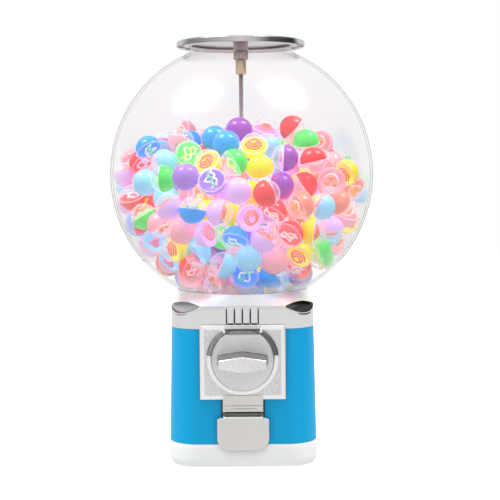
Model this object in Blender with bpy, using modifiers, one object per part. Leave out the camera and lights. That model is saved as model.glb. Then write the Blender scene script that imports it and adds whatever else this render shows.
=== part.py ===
"""Capsule vending machine: a clear globe on a square sheet-metal body, with a crank-operated capsule wheel.

Metres, +Z up, front towards -Y. The origin is on the ground under the centre rod.
"""

import math

import bmesh
import bpy
from mathutils import Matrix, Vector

MM = 0.001
GAP = 0.3 * MM  # left between pieces that touch

# Driving dimensions
GLOBE_RADIUS = 160 * MM
GLOBE_WALL = 2.5 * MM
GLOBE_Z = 344.5 * MM
NECK_RADIUS = 64.5 * MM  # outside of the globe's round openings
NECK_TOP_Z = 500 * MM
NECK_FOOT_Z = 184.5 * MM

SKIN = 1.2 * MM  # sheet-metal thickness
CORNER = 35 * MM  # radius of the body's upright corners
BODY_TOP_HALF = 84.9 * MM
BODY_FOOT_HALF = 87.6 * MM
BODY_TOP_Z = 165.1 * MM
BODY_FOOT_Z = 29.7 * MM
TRAY_HALF = 88.3 * MM
TRAY_FOOT_Z = 1.5 * MM

COLLAR_HALF = 85.0 * MM
COLLAR_EDGE_Z = 190.9 * MM
COLLAR_DIP = 8.0 * MM  # how far the wall's top edge drops at each corner
COLLAR_SCOOP = 9.0 * MM  # how far in each corner's scoop reaches
COLLAR_RIM = 80 * MM
COLLAR_RIM_Z = 205 * MM
SEAT_Z = 193 * MM

WHEEL_RADIUS = 70.5 * MM
WHEEL_FOOT_Z = 144.3 * MM
WHEEL_TOP_Z = 172 * MM
POCKETS = 6
POCKET_RADIUS = 17.5 * MM
POCKET_CIRCLE = 39 * MM
DROP_RADIUS = 18 * MM
GUARD_SCREWS = (-122, -58)  # degrees round the centre rod
GUARD_SCREW_Z = 179 * MM

AXLE_Z = 130.5 * MM  # height of the handle's axis
PINION_TEETH = 8
WHEEL_TEETH = 48
PITCH_RADIUS = 11 * MM  # of the pinion
GEAR_CIRCLE = PITCH_RADIUS * WHEEL_TEETH / PINION_TEETH
PITCH_Z = AXLE_Z + PITCH_RADIUS
SHAFT_RADIUS = 4 * MM

PLATE_HALF = 50.1 * MM
PLATE_FOOT_Z = 82.7 * MM
PLATE_TOP_Z = 170.4 * MM
PLATE_BACK_Y = -86.9 * MM
PLATE_FRONT_Y = -91 * MM
RING_RADIUS = 41.3 * MM
KNOB_RADIUS = 35.8 * MM
KNOB_FRONT_Y = -98.5 * MM
GRIP_FRONT_Y = -134 * MM
HOUSING_SCREWS = (0, 180, 250, 290)  # degrees round the handle's axis
HOUSING_LUGS = 37.2 * MM
RATCHET_TEETH = 15
RATCHET_PIVOT = (26.6 * MM, 190)  # radius and degrees from the handle's axis
COIN_PIVOT = (27.6 * MM, -25)

DOOR_HALF = 30.4 * MM
DOOR_TOP_Z = 61.8 * MM
DOOR_FOOT_Z = 23.2 * MM
DOOR_BACK_Y = -90.6 * MM
DOOR_THICK = 2.8 * MM
HINGE = Vector((0, -91.2 * MM, 66 * MM))
KNUCKLE = 2.4 * MM  # radius of the hinge's barrel and knuckles

LID_RADIUS = 77.8 * MM
LID_FOOT_Z = 499 * MM
LID_TOP_Z = 506 * MM
ROD_RADIUS = 2.75 * MM
FOOT_PLACES = [(x * MM, y * MM) for x in (-62, 62) for y in (-62, 62)]

SIDES = 48  # points round the lofted square pieces
TURN = 32  # steps of the large turned pieces

for old in list(bpy.data.objects):
    bpy.data.objects.remove(old)

parts = bpy.data.collections.new("capsule_machine")
bpy.context.scene.collection.children.link(parts)
cutters = bpy.data.collections.new("cutters")
cutters.hide_render = True
bpy.context.scene.collection.children.link(cutters)


# ---------------------------------------------------------------- materials


def material(name, colour, roughness, metallic=0.0, transmission=0.0):
    made = bpy.data.materials.new(name)
    made.use_nodes = True
    shader = made.node_tree.nodes["Principled BSDF"]
    shader.inputs["Base Color"].default_value = (*colour, 1)
    shader.inputs["Roughness"].default_value = roughness
    shader.inputs["Metallic"].default_value = metallic
    shader.inputs["Transmission Weight"].default_value = transmission
    return made


CHROME = material("chrome", (0.78, 0.78, 0.78), 0.08, 1.0)
LID_STEEL = material("lid_steel", (0.55, 0.55, 0.55), 0.2, 1.0)
CAST_ZINC = material("cast_zinc", (0.66, 0.65, 0.64), 0.38, 1.0)
STEEL = material("zinc_plated_steel", (0.62, 0.63, 0.64), 0.32, 1.0)
BRASS = material("brass", (0.66, 0.5, 0.3), 0.28, 1.0)
BLUE_PAINT = material("blue_paint", (0.01, 0.38, 0.68), 0.3)
WHITE_PLASTIC = material("white_plastic", (0.82, 0.83, 0.84), 0.4)
MECHANISM_PLASTIC = material("mechanism_plastic", (0.8, 0.8, 0.78), 0.5)
CLEAR = material("clear_plastic", (1, 1, 1), 0.03, 0.0, 1.0)
RUBBER = material("rubber", (0.06, 0.06, 0.06), 0.8)
CAPSULES = material("capsules", (0.6, 0.5, 0.75), 0.3)


# ---------------------------------------------------------------- shapes


def add(name, mesh, made_of=None):
    """Put a mesh in the scene: as a part if it has a material, as a cutter if not."""
    obj = bpy.data.objects.new(name, mesh)
    if made_of is None:
        cutters.objects.link(obj)
        obj.hide_render = True
        obj.display_type = "WIRE"
        return obj
    parts.objects.link(obj)
    mesh.materials.append(made_of)
    mesh.shade_smooth()
    mesh.set_sharp_from_angle(angle=math.radians(35))
    return obj


def mesh_from(build, name):
    """A mesh filled in by build(bm)."""
    bm = bmesh.new()
    build(bm)
    bmesh.ops.recalc_face_normals(bm, faces=bm.faces)
    mesh = bpy.data.meshes.new(name)
    bm.to_mesh(mesh)
    bm.free()
    return mesh


def box(name, low, high, made_of=None):
    size = Vector(high) - Vector(low)
    place = Matrix.Translation((Vector(high) + Vector(low)) / 2) @ Matrix.Diagonal((*size, 1))
    return add(name, mesh_from(lambda bm: bmesh.ops.create_cube(bm, size=1, matrix=place), name), made_of)


def rod(name, start, end, radius, made_of=None, sides=20, radius_end=None):
    """A straight round bar between two points."""
    start, end = Vector(start), Vector(end)
    way = end - start
    turn = way.to_track_quat("Z", "Y").to_matrix().to_4x4()
    place = Matrix.Translation((start + end) / 2) @ turn
    radius_end = radius if radius_end is None else radius_end

    def build(bm):
        radii = {"radius1": radius, "radius2": radius_end}
        bmesh.ops.create_cone(bm, cap_ends=True, segments=sides, depth=way.length, matrix=place, **radii)

    return add(name, mesh_from(build, name), made_of)


def turned(name, profile, made_of=None, steps=TURN, axle=False):
    """A solid of revolution. The profile is a closed list of (radius, height), down outside and up inside.

    With axle=True it turns about the handle's axis, and height is -y.
    """
    mesh = bpy.data.meshes.new(name)
    points = [(radius, 0, height) for radius, height in profile]
    open_ended = profile[0][0] == 0 and profile[-1][0] == 0
    count = len(points) - 1 if open_ended else len(points)
    mesh.from_pydata(points, [(i, (i + 1) % len(points)) for i in range(count)], [])
    obj = add(name, mesh, made_of)
    screw = obj.modifiers.new("turn", "SCREW")
    screw.steps = steps
    screw.render_steps = steps
    screw.use_merge_vertices = True
    screw.merge_threshold = 0.00005
    screw.use_smooth_shade = True
    if axle:
        obj.location = (0, 0, AXLE_Z)
        obj.rotation_euler = (math.pi / 2, 0, 0)
    return obj


def plate(name, loops, low, high, made_of=None, facing="Z"):
    """A flat outline with holes, given as loops of 2D points, extruded from low to high along an axis.

    Facing "Z" takes (x, y), "Y" takes (x, z) and "X" takes (y, z).
    """
    curve = bpy.data.curves.new(name, "CURVE")
    curve.dimensions = "2D"
    curve.fill_mode = "BOTH"
    curve.extrude = (high - low) / 2
    for loop in loops:
        spline = curve.splines.new("POLY")
        spline.points.add(len(loop) - 1)
        for point, at in zip(spline.points, loop):
            point.co = (at[0], at[1], 0, 1)
        spline.use_cyclic_u = True
    guide = bpy.data.objects.new(name + "_guide", curve)
    bpy.context.scene.collection.objects.link(guide)
    graph = bpy.context.evaluated_depsgraph_get()
    mesh = bpy.data.meshes.new_from_object(guide.evaluated_get(graph))
    bpy.data.objects.remove(guide)
    middle = (low + high) / 2
    place = {
        "Z": Matrix.Translation((0, 0, middle)),
        "Y": Matrix(((1, 0, 0, 0), (0, 0, -1, middle), (0, 1, 0, 0), (0, 0, 0, 1))),
        "X": Matrix(((0, 0, 1, middle), (1, 0, 0, 0), (0, 1, 0, 0), (0, 0, 0, 1))),
    }[facing]
    mesh.transform(place)

    def clean(bm):
        bm.from_mesh(mesh)
        bmesh.ops.remove_doubles(bm, verts=bm.verts, dist=0.000001)

    return add(name, mesh_from(clean, name), made_of)


def tube_along(name, points, radius, made_of):
    """A round wire through the points."""
    curve = bpy.data.curves.new(name, "CURVE")
    curve.dimensions = "3D"
    curve.bevel_depth = radius
    curve.bevel_resolution = 1
    curve.use_fill_caps = True
    spline = curve.splines.new("POLY")
    spline.points.add(len(points) - 1)
    for point, at in zip(spline.points, points):
        point.co = (*at, 1)
    obj = bpy.data.objects.new(name, curve)
    curve.materials.append(made_of)
    parts.objects.link(obj)
    return obj


def loft(name, rings, made_of=None, closed=True):
    """Quads between rings of equal length. A closed loft joins last ring to first, else it is capped."""

    def build(bm):
        rows = [[bm.verts.new(point) for point in ring] for ring in rings]
        pairs = list(zip(rows, rows[1:]))
        if closed:
            pairs.append((rows[-1], rows[0]))
        else:
            bm.faces.new(rows[0])
            bm.faces.new(rows[-1])
        for here, there in pairs:
            for i in range(len(here)):
                j = (i + 1) % len(here)
                bm.faces.new((here[i], here[j], there[j], there[i]))

    return add(name, mesh_from(build, name), made_of)


def combine(obj, other, operation):
    """A Boolean that stays on the object as a modifier."""
    if other.name not in cutters.objects:
        parts.objects.unlink(other)
        cutters.objects.link(other)
        other.hide_render = True
        other.display_type = "WIRE"
    modifier = obj.modifiers.new(other.name, "BOOLEAN")
    modifier.operation = operation
    modifier.solver = "EXACT"
    modifier.object = other
    return obj


def cut(obj, *others):
    for other in others:
        combine(obj, other, "DIFFERENCE")
    return obj


def fuse(obj, *others):
    for other in others:
        combine(obj, other, "UNION")
    return obj


# ---------------------------------------------------------------- outlines


def circle(radius, sides, centre=(0, 0), start=0.0, sweep=2 * math.pi):
    """Points of a circle, or of an arc with both its ends where the sweep is less than a full turn."""
    whole = abs(sweep - 2 * math.pi) < 1e-9
    count = sides if whole else sides + 1
    angles = [start + sweep * i / sides for i in range(count)]
    return [(centre[0] + radius * math.cos(a), centre[1] + radius * math.sin(a)) for a in angles]


def rectangle(left, foot, right, top):
    return [(left, foot), (right, foot), (right, top), (left, top)]


def square_point(angle, half, corner):
    """The point of a rounded square at this angle from +X, and how far round its corner, 0 to 1 to 0."""
    flat = half - corner
    turn = angle % (math.pi / 2)
    folded = min(turn, math.pi / 2 - turn)
    radius = half / math.cos(folded)
    bend = 0.0
    if half * math.tan(folded) > flat:
        along = flat * (math.cos(folded) + math.sin(folded))
        radius = along + math.sqrt(along**2 - 2 * flat**2 + corner**2)
        out = math.atan2(radius * math.sin(folded) - flat, radius * math.cos(folded) - flat)
        bend = math.sin(2 * out)
    return radius, bend


def square_ring(half, corner, height):
    ring = []
    for i in range(SIDES):
        angle = 2 * math.pi * i / SIDES
        radius, bend = square_point(angle, half, corner)
        z = height(bend) if callable(height) else height
        ring.append((radius * math.cos(angle), radius * math.sin(angle), z))
    return ring


def round_ring(radius, z):
    return [(x, y, z) for x, y in circle(radius, SIDES)]


def polar(radius, degrees, centre=(0, 0)):
    angle = math.radians(degrees)
    return centre[0] + radius * math.cos(angle), centre[1] + radius * math.sin(angle)


# ---------------------------------------------------------------- cabinet


def foot_tray():
    """Moulded tray: a shallow pan with rounded foot edges, a boss for the rod and recesses for the feet."""
    wall = 2.5 * MM
    floor = 4.5 * MM
    top = BODY_FOOT_Z - GAP
    rings = [
        square_ring(TRAY_HALF - 7 * MM, CORNER - 7 * MM, TRAY_FOOT_Z),
        square_ring(TRAY_HALF - 2.6 * MM, CORNER - 2.6 * MM, TRAY_FOOT_Z + 1.6 * MM),
        square_ring(TRAY_HALF - 0.5 * MM, CORNER - 0.5 * MM, TRAY_FOOT_Z + 6 * MM),
        square_ring(TRAY_HALF, CORNER, TRAY_FOOT_Z + 12 * MM),
        square_ring(TRAY_HALF, CORNER, top),
        square_ring(TRAY_HALF - wall, CORNER - wall, top),
        square_ring(TRAY_HALF - wall - 0.5 * MM, CORNER - wall, TRAY_FOOT_Z + 8 * MM),
        square_ring(TRAY_HALF - 9 * MM, CORNER - 9 * MM, floor),
    ]
    tray = loft("foot_tray", rings, WHITE_PLASTIC, closed=False)
    fuse(tray, rod("tray_boss", (0, 0, 4 * MM), (0, 0, 12 * MM), 17 * MM))
    cut(tray, rod("tray_recess", (0, 0, 0), (0, 0, 9 * MM), 13 * MM))
    cut(tray, rod("tray_rod_hole", (0, 0, 0), (0, 0, 20 * MM), ROD_RADIUS + 0.5 * MM))
    for i, (x, y) in enumerate(FOOT_PLACES):
        cut(tray, rod(f"foot_recess_{i}", (x, y, 0), (x, y, 3.5 * MM), 9.5 * MM))


def feet():
    for i, (x, y) in enumerate(FOOT_PLACES):
        rod(f"foot_{i + 1}", (x, y, 0), (x, y, 3.2 * MM), 8 * MM, RUBBER, 20, 9 * MM)


def body_shell():
    """Sheet-metal wrap, a little wider at its foot, with a notch for the coin mechanism and a chute mouth."""
    rings = [
        square_ring(BODY_TOP_HALF, CORNER, BODY_TOP_Z),
        square_ring(BODY_FOOT_HALF, CORNER, BODY_FOOT_Z),
        square_ring(BODY_FOOT_HALF - SKIN, CORNER - SKIN, BODY_FOOT_Z),
        square_ring(BODY_TOP_HALF - SKIN, CORNER - SKIN, BODY_TOP_Z),
    ]
    shell = loft("body_shell", rings, BLUE_PAINT)
    notch = 42 * MM
    front, back = -95 * MM, -75 * MM
    cut(shell, box("mechanism_notch", (-notch, front, 91 * MM), (notch, back, 170 * MM)))
    cut(shell, box("mouth_hole", (-22.5 * MM, front, 31.2 * MM), (22.5 * MM, back, 62.5 * MM)))


def between(start, end, share):
    """A point that share of the way from start to end."""
    return [a + (b - a) * share for a, b in zip(start, end)]


def collar():
    """Chrome casting: upright walls, a domed shoulder up to a round rim, a scoop at each corner."""
    wall = 2.5 * MM

    def edge(bend):
        return COLLAR_EDGE_Z - COLLAR_DIP * bend

    def crease(z):
        """The inner edge of the scoops, which joins the wall's edge along each straight side."""
        ring = []
        for x, y, bend in square_ring(COLLAR_HALF - 0.5 * MM, CORNER, lambda bend: bend):
            shrink = 1 - COLLAR_SCOOP * bend / math.hypot(x, y)
            ring.append((x * shrink, y * shrink, z))
        return ring

    def shoulder(share):
        """Part of the way up the dome, from the scoops' inner edge to the rim."""
        z = COLLAR_EDGE_Z + (COLLAR_RIM_Z - COLLAR_EDGE_Z) * (share + 0.1 * math.sin(math.pi * share))
        pairs = zip(crease(z), round_ring(COLLAR_RIM, z))
        return [(*between(a[:2], b[:2], share), z) for a, b in pairs]

    def cove(share, rise):
        """Part of the way across a scoop, from the wall's edge to the scoop's inner edge."""
        pairs = zip(square_ring(COLLAR_HALF - 0.4 * MM, CORNER, edge), crease(COLLAR_EDGE_Z + 0.3 * MM))
        return [(*between(a[:2], b[:2], share), *between(a[2:], b[2:], rise)) for a, b in pairs]

    rings = [
        square_ring(COLLAR_HALF, CORNER, BODY_TOP_Z + GAP),
        square_ring(COLLAR_HALF, CORNER, lambda bend: edge(bend) - 0.4 * MM),
        cove(0, 0),
        cove(0.6, 0.25),
        cove(1, 1),
        shoulder(0.35),
        shoulder(0.75),
        round_ring(COLLAR_RIM, COLLAR_RIM_Z - 0.4 * MM),
        round_ring(COLLAR_RIM - 0.8 * MM, COLLAR_RIM_Z - 0.4 * MM),
        round_ring(COLLAR_RIM - 0.8 * MM, SEAT_Z),
        round_ring(66.2 * MM, SEAT_Z),
        round_ring(66.2 * MM, SEAT_Z - 3 * MM),
        round_ring(74.5 * MM, SEAT_Z - 4 * MM),
        square_ring(COLLAR_HALF - wall - 0.4 * MM, CORNER - wall, lambda bend: edge(bend) - 3.5 * MM),
        square_ring(COLLAR_HALF - wall, CORNER - wall, BODY_TOP_Z + GAP),
    ]
    piece = loft("collar", rings, CHROME)
    for i in range(4):
        x = (i - 1.5) * 9.26 * MM
        outline = [
            (x - 3.4 * MM, 170.8 * MM),
            (x + 3.4 * MM, 170.8 * MM),
            (x + 4.1 * MM, 189.5 * MM),
            (x + 2.4 * MM, 192.2 * MM),
            (x - 2.4 * MM, 192.2 * MM),
            (x - 4.1 * MM, 189.5 * MM),
        ]
        fuse(piece, plate(f"collar_rib_{i}", [outline], -87.6 * MM, -83.2 * MM, facing="Y"))


def globe_arc(radius, opening, count, upwards):
    """Points of the sphere's profile between its two openings of this radius."""
    limit = math.asin(opening / radius)
    points = []
    for i in range(count + 1):
        angle = limit + (math.pi - 2 * limit) * i / count
        points.append((radius * math.sin(angle), GLOBE_Z + radius * math.cos(angle)))
    return points[::-1] if upwards else points


def globe():
    inner = NECK_RADIUS - GLOBE_WALL
    profile = [(NECK_RADIUS, NECK_TOP_Z), (NECK_RADIUS, 495.6 * MM), (NECK_RADIUS + MM, 494 * MM)]
    profile += [(NECK_RADIUS, 492.4 * MM)]
    profile += globe_arc(GLOBE_RADIUS, NECK_RADIUS, 14, upwards=False)
    profile += [(NECK_RADIUS, NECK_FOOT_Z), (inner, NECK_FOOT_Z)]
    profile += globe_arc(GLOBE_RADIUS - GLOBE_WALL, inner, 12, upwards=True)
    profile += [(inner, NECK_TOP_Z)]
    turned("globe", profile, CLEAR)
    seal = [
        (77.2 * MM, 203.0 * MM),
        (78.6 * MM, 201.8 * MM),
        (78.6 * MM, SEAT_Z + GAP),
        (66.8 * MM, SEAT_Z + GAP),
        (66.8 * MM, 198.2 * MM),
    ]
    turned("globe_gasket", seal, MECHANISM_PLASTIC, 24)


def capsule_load():
    """The heap of capsules as one solid: a plug in the neck, the bowl and a low mound round the rod."""
    clear = 4.6 * MM
    radius = GLOBE_RADIUS - GLOBE_WALL - 3.5 * MM
    neck = 60 * MM
    top = 379 * MM
    start = math.acos((top - GLOBE_Z) / radius)
    end = math.pi - math.asin(neck / radius)
    rise = 30 * MM
    profile = []
    for i in range(5):
        share = i / 4
        out = clear + (radius * math.sin(start) - clear) * share
        profile.append((out, top + rise * math.cos(share * math.pi / 2)))
    for i in range(1, 8):
        angle = start + (end - start) * i / 7
        profile.append((radius * math.sin(angle), GLOBE_Z + radius * math.cos(angle)))
    profile += [(neck, 189 * MM), (clear, 189 * MM)]
    turned("capsule_load", profile, CAPSULES, 20)


def centre_rod():
    rod("centre_rod", (0, 0, 2 * MM), (0, 0, 478 * MM), ROD_RADIUS, STEEL, 16)
    bore = ROD_RADIUS + GAP
    washer = [(9 * MM, 8.7 * MM), (9 * MM, 7.4 * MM), (bore, 7.4 * MM), (bore, 8.7 * MM)]
    turned("rod_washer", washer, STEEL, 20)
    hexagon = circle(5.8 * MM, 6)
    plate("rod_nut", [hexagon, circle(bore, 16)], 2.4 * MM, 7.1 * MM, STEEL)


# ---------------------------------------------------------------- capsule wheel and its pan


def wheel_pan():
    """Moulded pan under the globe. The wheel turns on its floor, its teeth in the channel round the edge."""
    floor_top = WHEEL_FOOT_Z - 0.8 * MM
    floor_foot = floor_top - 3 * MM
    channel_top = PITCH_Z - 3.2 * MM
    channel_foot = channel_top - 2.5 * MM
    inner = WHEEL_RADIUS + 1.5 * MM
    outer = inner + 2.5 * MM
    profile = [
        (80.5 * MM, 185.4 * MM),
        (80.5 * MM, 183.6 * MM),
        (outer, 183.6 * MM),
        (outer, channel_foot),
        (58 * MM, channel_foot),
        (58 * MM, floor_foot),
        (4.2 * MM, floor_foot),
        (4.2 * MM, floor_top),
        (60.6 * MM, floor_top),
        (60.6 * MM, channel_top),
        (inner, channel_top),
        (inner, 185.4 * MM),
    ]
    pan = turned("wheel_pan", profile, MECHANISM_PLASTIC)
    low, high = (0, -POCKET_CIRCLE, 120 * MM), (0, -POCKET_CIRCLE, 150 * MM)
    cut(pan, rod("drop_hole", low, high, DROP_RADIUS, sides=28))
    cut(pan, box("pinion_window", (-15 * MM, -76 * MM, 130 * MM), (15 * MM, -57 * MM, 139.5 * MM)))
    for i, degrees in enumerate(GUARD_SCREWS):
        cut(pan, radial_rod(f"pan_screw_hole_{i}", degrees, 65 * MM, 79 * MM, 1.8 * MM))


def radial_rod(name, degrees, start, end, radius, made_of=None):
    """A round bar pointing out from the centre rod, at the guard screws' height."""
    ends = [(*polar(reach, degrees), GUARD_SCREW_Z) for reach in (start, end)]
    return rod(name, *ends, radius, made_of, 12)


def capsule_wheel():
    """Wheel with six pockets, and a ring of face teeth under its rim."""
    loops = [circle(WHEEL_RADIUS, 60), circle(3.4 * MM, 12)]
    for i in range(POCKETS):
        loops.append(circle(POCKET_RADIUS, 16, polar(POCKET_CIRCLE, 360 * i / POCKETS - 90)))
    wheel = plate("capsule_wheel", loops, WHEEL_FOOT_Z, WHEEL_TOP_Z, MECHANISM_PLASTIC)
    tip = PITCH_Z - 2 * MM
    pitch = 2 * math.pi / WHEEL_TEETH
    inner, outer = 61.6 * MM, WHEEL_RADIUS - 0.1 * MM
    rings = [[], [], [], []]
    for i in range(WHEEL_TEETH):
        # The gap faces the front, where the pinion's top tooth sits
        middle = -math.pi / 2 + (i + 0.5) * pitch
        for share, z in ((-0.26, WHEEL_FOOT_Z), (-0.1, tip), (0.1, tip), (0.26, WHEEL_FOOT_Z)):
            angle = middle + share * pitch
            for ring, radius, height in zip(
                rings, (inner, outer, outer, inner), (z, z, WHEEL_FOOT_Z + MM, WHEEL_FOOT_Z + MM)
            ):
                ring.append((radius * math.cos(angle), radius * math.sin(angle), height))
    fuse(wheel, loft("wheel_teeth", rings))
    wire = [(*polar(9 * MM, 35), 170 * MM), (*polar(9 * MM, 35), 181 * MM)]
    wire += [(*polar(26 * MM, 50), 184 * MM), (*polar(46 * MM, 75), 180 * MM)]
    hole = rod("agitator_socket", (*wire[0][:2], 168 * MM), (*wire[0][:2], 175 * MM), 2.2 * MM, sides=12)
    cut(wheel, hole)
    tube_along("agitator", wire, 1.6 * MM, STEEL)


def capsule_guard():
    """Sector plate over the drop hole. It keeps the heap out of the pocket that is emptying."""
    z = 173.6 * MM
    reach = WHEEL_RADIUS + 0.8 * MM
    start, sweep = math.radians(-130), math.radians(80)
    inset = math.radians(0.4)
    outline = circle(reach - 0.7 * MM, 12, start=start + inset, sweep=sweep - 2 * inset)
    outline += circle(20 * MM, 6, start=start + sweep - inset, sweep=2 * inset - sweep)
    guard = plate("capsule_guard", [outline], z, z + 1.6 * MM, STEEL)
    band = circle(reach, 12, start=start, sweep=sweep)
    band += circle(reach - 1.6 * MM, 12, start=start + sweep, sweep=-sweep)
    fuse(guard, plate("guard_flange", [band], z - 0.2 * MM, z + 10 * MM))
    for i, degrees in enumerate(GUARD_SCREWS):
        cut(guard, radial_rod(f"guard_hole_{i}", degrees, 60 * MM, 80 * MM, 1.8 * MM))
        screw = radial_rod(f"guard_screw_{i + 1}", degrees, 67.4 * MM, 77 * MM, 1.4 * MM, STEEL)
        fuse(screw, radial_rod(f"guard_screw_head_{i}", degrees, 67.2 * MM, 69.1 * MM, 2.8 * MM))


def drop_chute():
    """Duct from the drop hole down to the mouth in the front of the body."""
    outer = [
        (-58 * MM, 135.3 * MM),
        (-20 * MM, 135.3 * MM),
        (-20 * MM, 76 * MM),
        (-58 * MM, 37 * MM),
        (-85.8 * MM, 31.9 * MM),
        (-85.8 * MM, 61.8 * MM),
        (-58 * MM, 64 * MM),
    ]
    inner = [
        (-56.6 * MM, 140 * MM),
        (-21.4 * MM, 140 * MM),
        (-21.4 * MM, 76.6 * MM),
        (-58.4 * MM, 38.5 * MM),
        (-90 * MM, 32.6 * MM),
        (-90 * MM, 60.2 * MM),
        (-56.6 * MM, 62.4 * MM),
    ]
    half, wall = 21.8 * MM, 1.4 * MM
    duct = plate("drop_chute", [outer], -half, half, MECHANISM_PLASTIC, facing="X")
    cut(duct, plate("duct_bore", [inner], wall - half, half - wall, facing="X"))


# ---------------------------------------------------------------- coin mechanism


def face_plate():
    """Cast plate with a sloped border, a ring round the handle and a hood over the coin recess."""
    border = 5.8 * MM
    edge_y = PLATE_FRONT_Y + 2.4 * MM

    def ring(inset, y):
        left, right = inset - PLATE_HALF, PLATE_HALF - inset
        foot, top = PLATE_FOOT_Z + inset, PLATE_TOP_Z - inset
        return [(x, y, z) for x, z in rectangle(left, foot, right, top)]

    rings = [ring(0, PLATE_BACK_Y), ring(0, edge_y), ring(border, PLATE_FRONT_Y)]
    casting = loft("face_plate", rings, CAST_ZINC, closed=False)
    front = 95 * MM
    boss = [(0, front), (RING_RADIUS - MM, front), (RING_RADIUS, front - MM)]
    boss += [(RING_RADIUS, 88 * MM), (0, 88 * MM)]
    ring_boss = turned("ring_boss", boss, steps=48, axle=True)
    level = PLATE_TOP_Z - 1.2 * MM
    cut(ring_boss, box("ring_top", (-50 * MM, -99 * MM, level), (50 * MM, -80 * MM, 180 * MM)))
    fuse(casting, ring_boss)
    fuse(casting, box("coin_hood", (-19.8 * MM, -96.6 * MM, 166.8 * MM), (19.8 * MM, -90 * MM, 169 * MM)))
    recess, bore = KNOB_RADIUS + 0.6 * MM, 12.6 * MM
    mouth, floor, back = 99 * MM, 91.5 * MM, 80 * MM
    stepped = [(0, mouth), (recess, mouth), (recess, floor), (bore, floor), (bore, back), (0, back)]
    cut(casting, turned("knob_recess", stepped, steps=44, axle=True))
    cut(casting, box("coin_slot", (-14 * MM, -93 * MM, 160.6 * MM), (14 * MM, -80 * MM, 165.8 * MM)))
    for i, degrees in enumerate(HOUSING_SCREWS):
        x, z = polar(HOUSING_LUGS, degrees, (0, AXLE_Z))
        cut(casting, rod(f"plate_hole_{i}", (x, -89.5 * MM, z), (x, -80 * MM, z), 1.7 * MM, sides=12))


def axle_rod(name, front, back, radius, made_of=None, sides=24):
    """A round bar on the handle's axis, between two distances in front of the centre rod."""
    return rod(name, (0, -front, AXLE_Z), (0, -back, AXLE_Z), radius, made_of, sides)


def coin_mechanism():
    """Housing behind the plate, with the shaft, coin carrier, ratchet, two pawls and the pinion."""
    bore = SHAFT_RADIUS + GAP
    outer, inner = 33.6 * MM, 31.8 * MM
    front, back = 86.5 * MM, 75.4 * MM
    cup = [(outer, front), (outer, back), (bore + 0.1 * MM, back), (bore + 0.1 * MM, back + 1.8 * MM)]
    cup += [(inner, back + 1.8 * MM), (inner, front)]
    housing = turned("mechanism_housing", cup, STEEL, 24, axle=True)
    cut(housing, box("coin_entry", (-14 * MM, -90 * MM, 150 * MM), (14 * MM, -82.5 * MM, 170 * MM)))
    cut(housing, box("coin_exit", (-14 * MM, -90 * MM, 90 * MM), (14 * MM, -82.5 * MM, 108 * MM)))
    for i, degrees in enumerate(HOUSING_SCREWS):
        x, z = polar(HOUSING_LUGS, degrees, (0, AXLE_Z))
        fuse(housing, rod(f"lug_{i}", (x, -front, z), (x, -82 * MM, z), 4 * MM, sides=16))
        cut(housing, rod(f"lug_hole_{i}", (x, -90 * MM, z), (x, -80 * MM, z), 1.7 * MM, sides=12))
        screw = rod(f"housing_screw_{i + 1}", (x, -89.2 * MM, z), (x, -80 * MM, z), 1.4 * MM, STEEL, 12)
        head = rod(f"housing_screw_head_{i}", (x, -81.7 * MM, z), (x, -79.5 * MM, z), 2.8 * MM, sides=12)
        fuse(screw, head)

    axle_rod("handle_shaft", 96 * MM, 59 * MM, SHAFT_RADIUS, STEEL, 16)
    notch = circle(12.3 * MM, 10, (0, 21.5 * MM), math.radians(205), math.radians(130))
    carrier = notch + circle(23 * MM, 22, start=math.radians(61), sweep=-math.radians(302))
    axle_plate("coin_carrier", [carrier, circle(bore, 16)], 86.2 * MM, 83.7 * MM, CAST_ZINC)
    teeth = []
    for i in range(RATCHET_TEETH):
        degrees = 360 * i / RATCHET_TEETH
        teeth += [polar(20 * MM, degrees), polar(17 * MM, degrees + 3), polar(18.6 * MM, degrees + 18)]
    axle_plate("ratchet_wheel", [teeth, circle(bore, 16)], 83.1 * MM, 80.6 * MM, STEEL)
    spacer = circle(6.5 * MM, 20)
    axle_plate("pinion_spacer", [spacer, circle(bore, 16)], 75.1 * MM, 69.9 * MM, BRASS)
    axle_plate("drive_pinion", [pinion_outline(), circle(bore, 16)], 69.6 * MM, 62.6 * MM, MECHANISM_PLASTIC)
    axle_plate("shaft_nut", [circle(7.5 * MM, 6), circle(bore, 16)], 62.2 * MM, 59.4 * MM, STEEL)
    pawl("ratchet_pawl", RATCHET_PIVOT, (20.7 * MM, 152), 83.1 * MM, 80.6 * MM)
    pawl("coin_pawl", COIN_PIVOT, (23.8 * MM, 20), 86.2 * MM, 83.7 * MM)


def axle_plate(name, loops, front, back, made_of):
    """An extruded outline drawn about the handle's axis, which is also the object's origin."""
    piece = plate(name, loops, -front, -back, made_of, facing="Y")
    piece.location = (0, 0, AXLE_Z)
    return piece


def pinion_outline():
    """Eight straight-sided teeth with generous backlash, one pointing straight up."""
    root, tip = PITCH_RADIUS - 2.9 * MM, PITCH_RADIUS + 2 * MM
    points = []
    for i in range(PINION_TEETH):
        middle = 90 + 360 * i / PINION_TEETH
        points += [polar(root, middle - 11), polar(tip, middle - 3.4)]
        points += [polar(tip, middle + 3.4), polar(root, middle + 11)]
    return points


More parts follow.
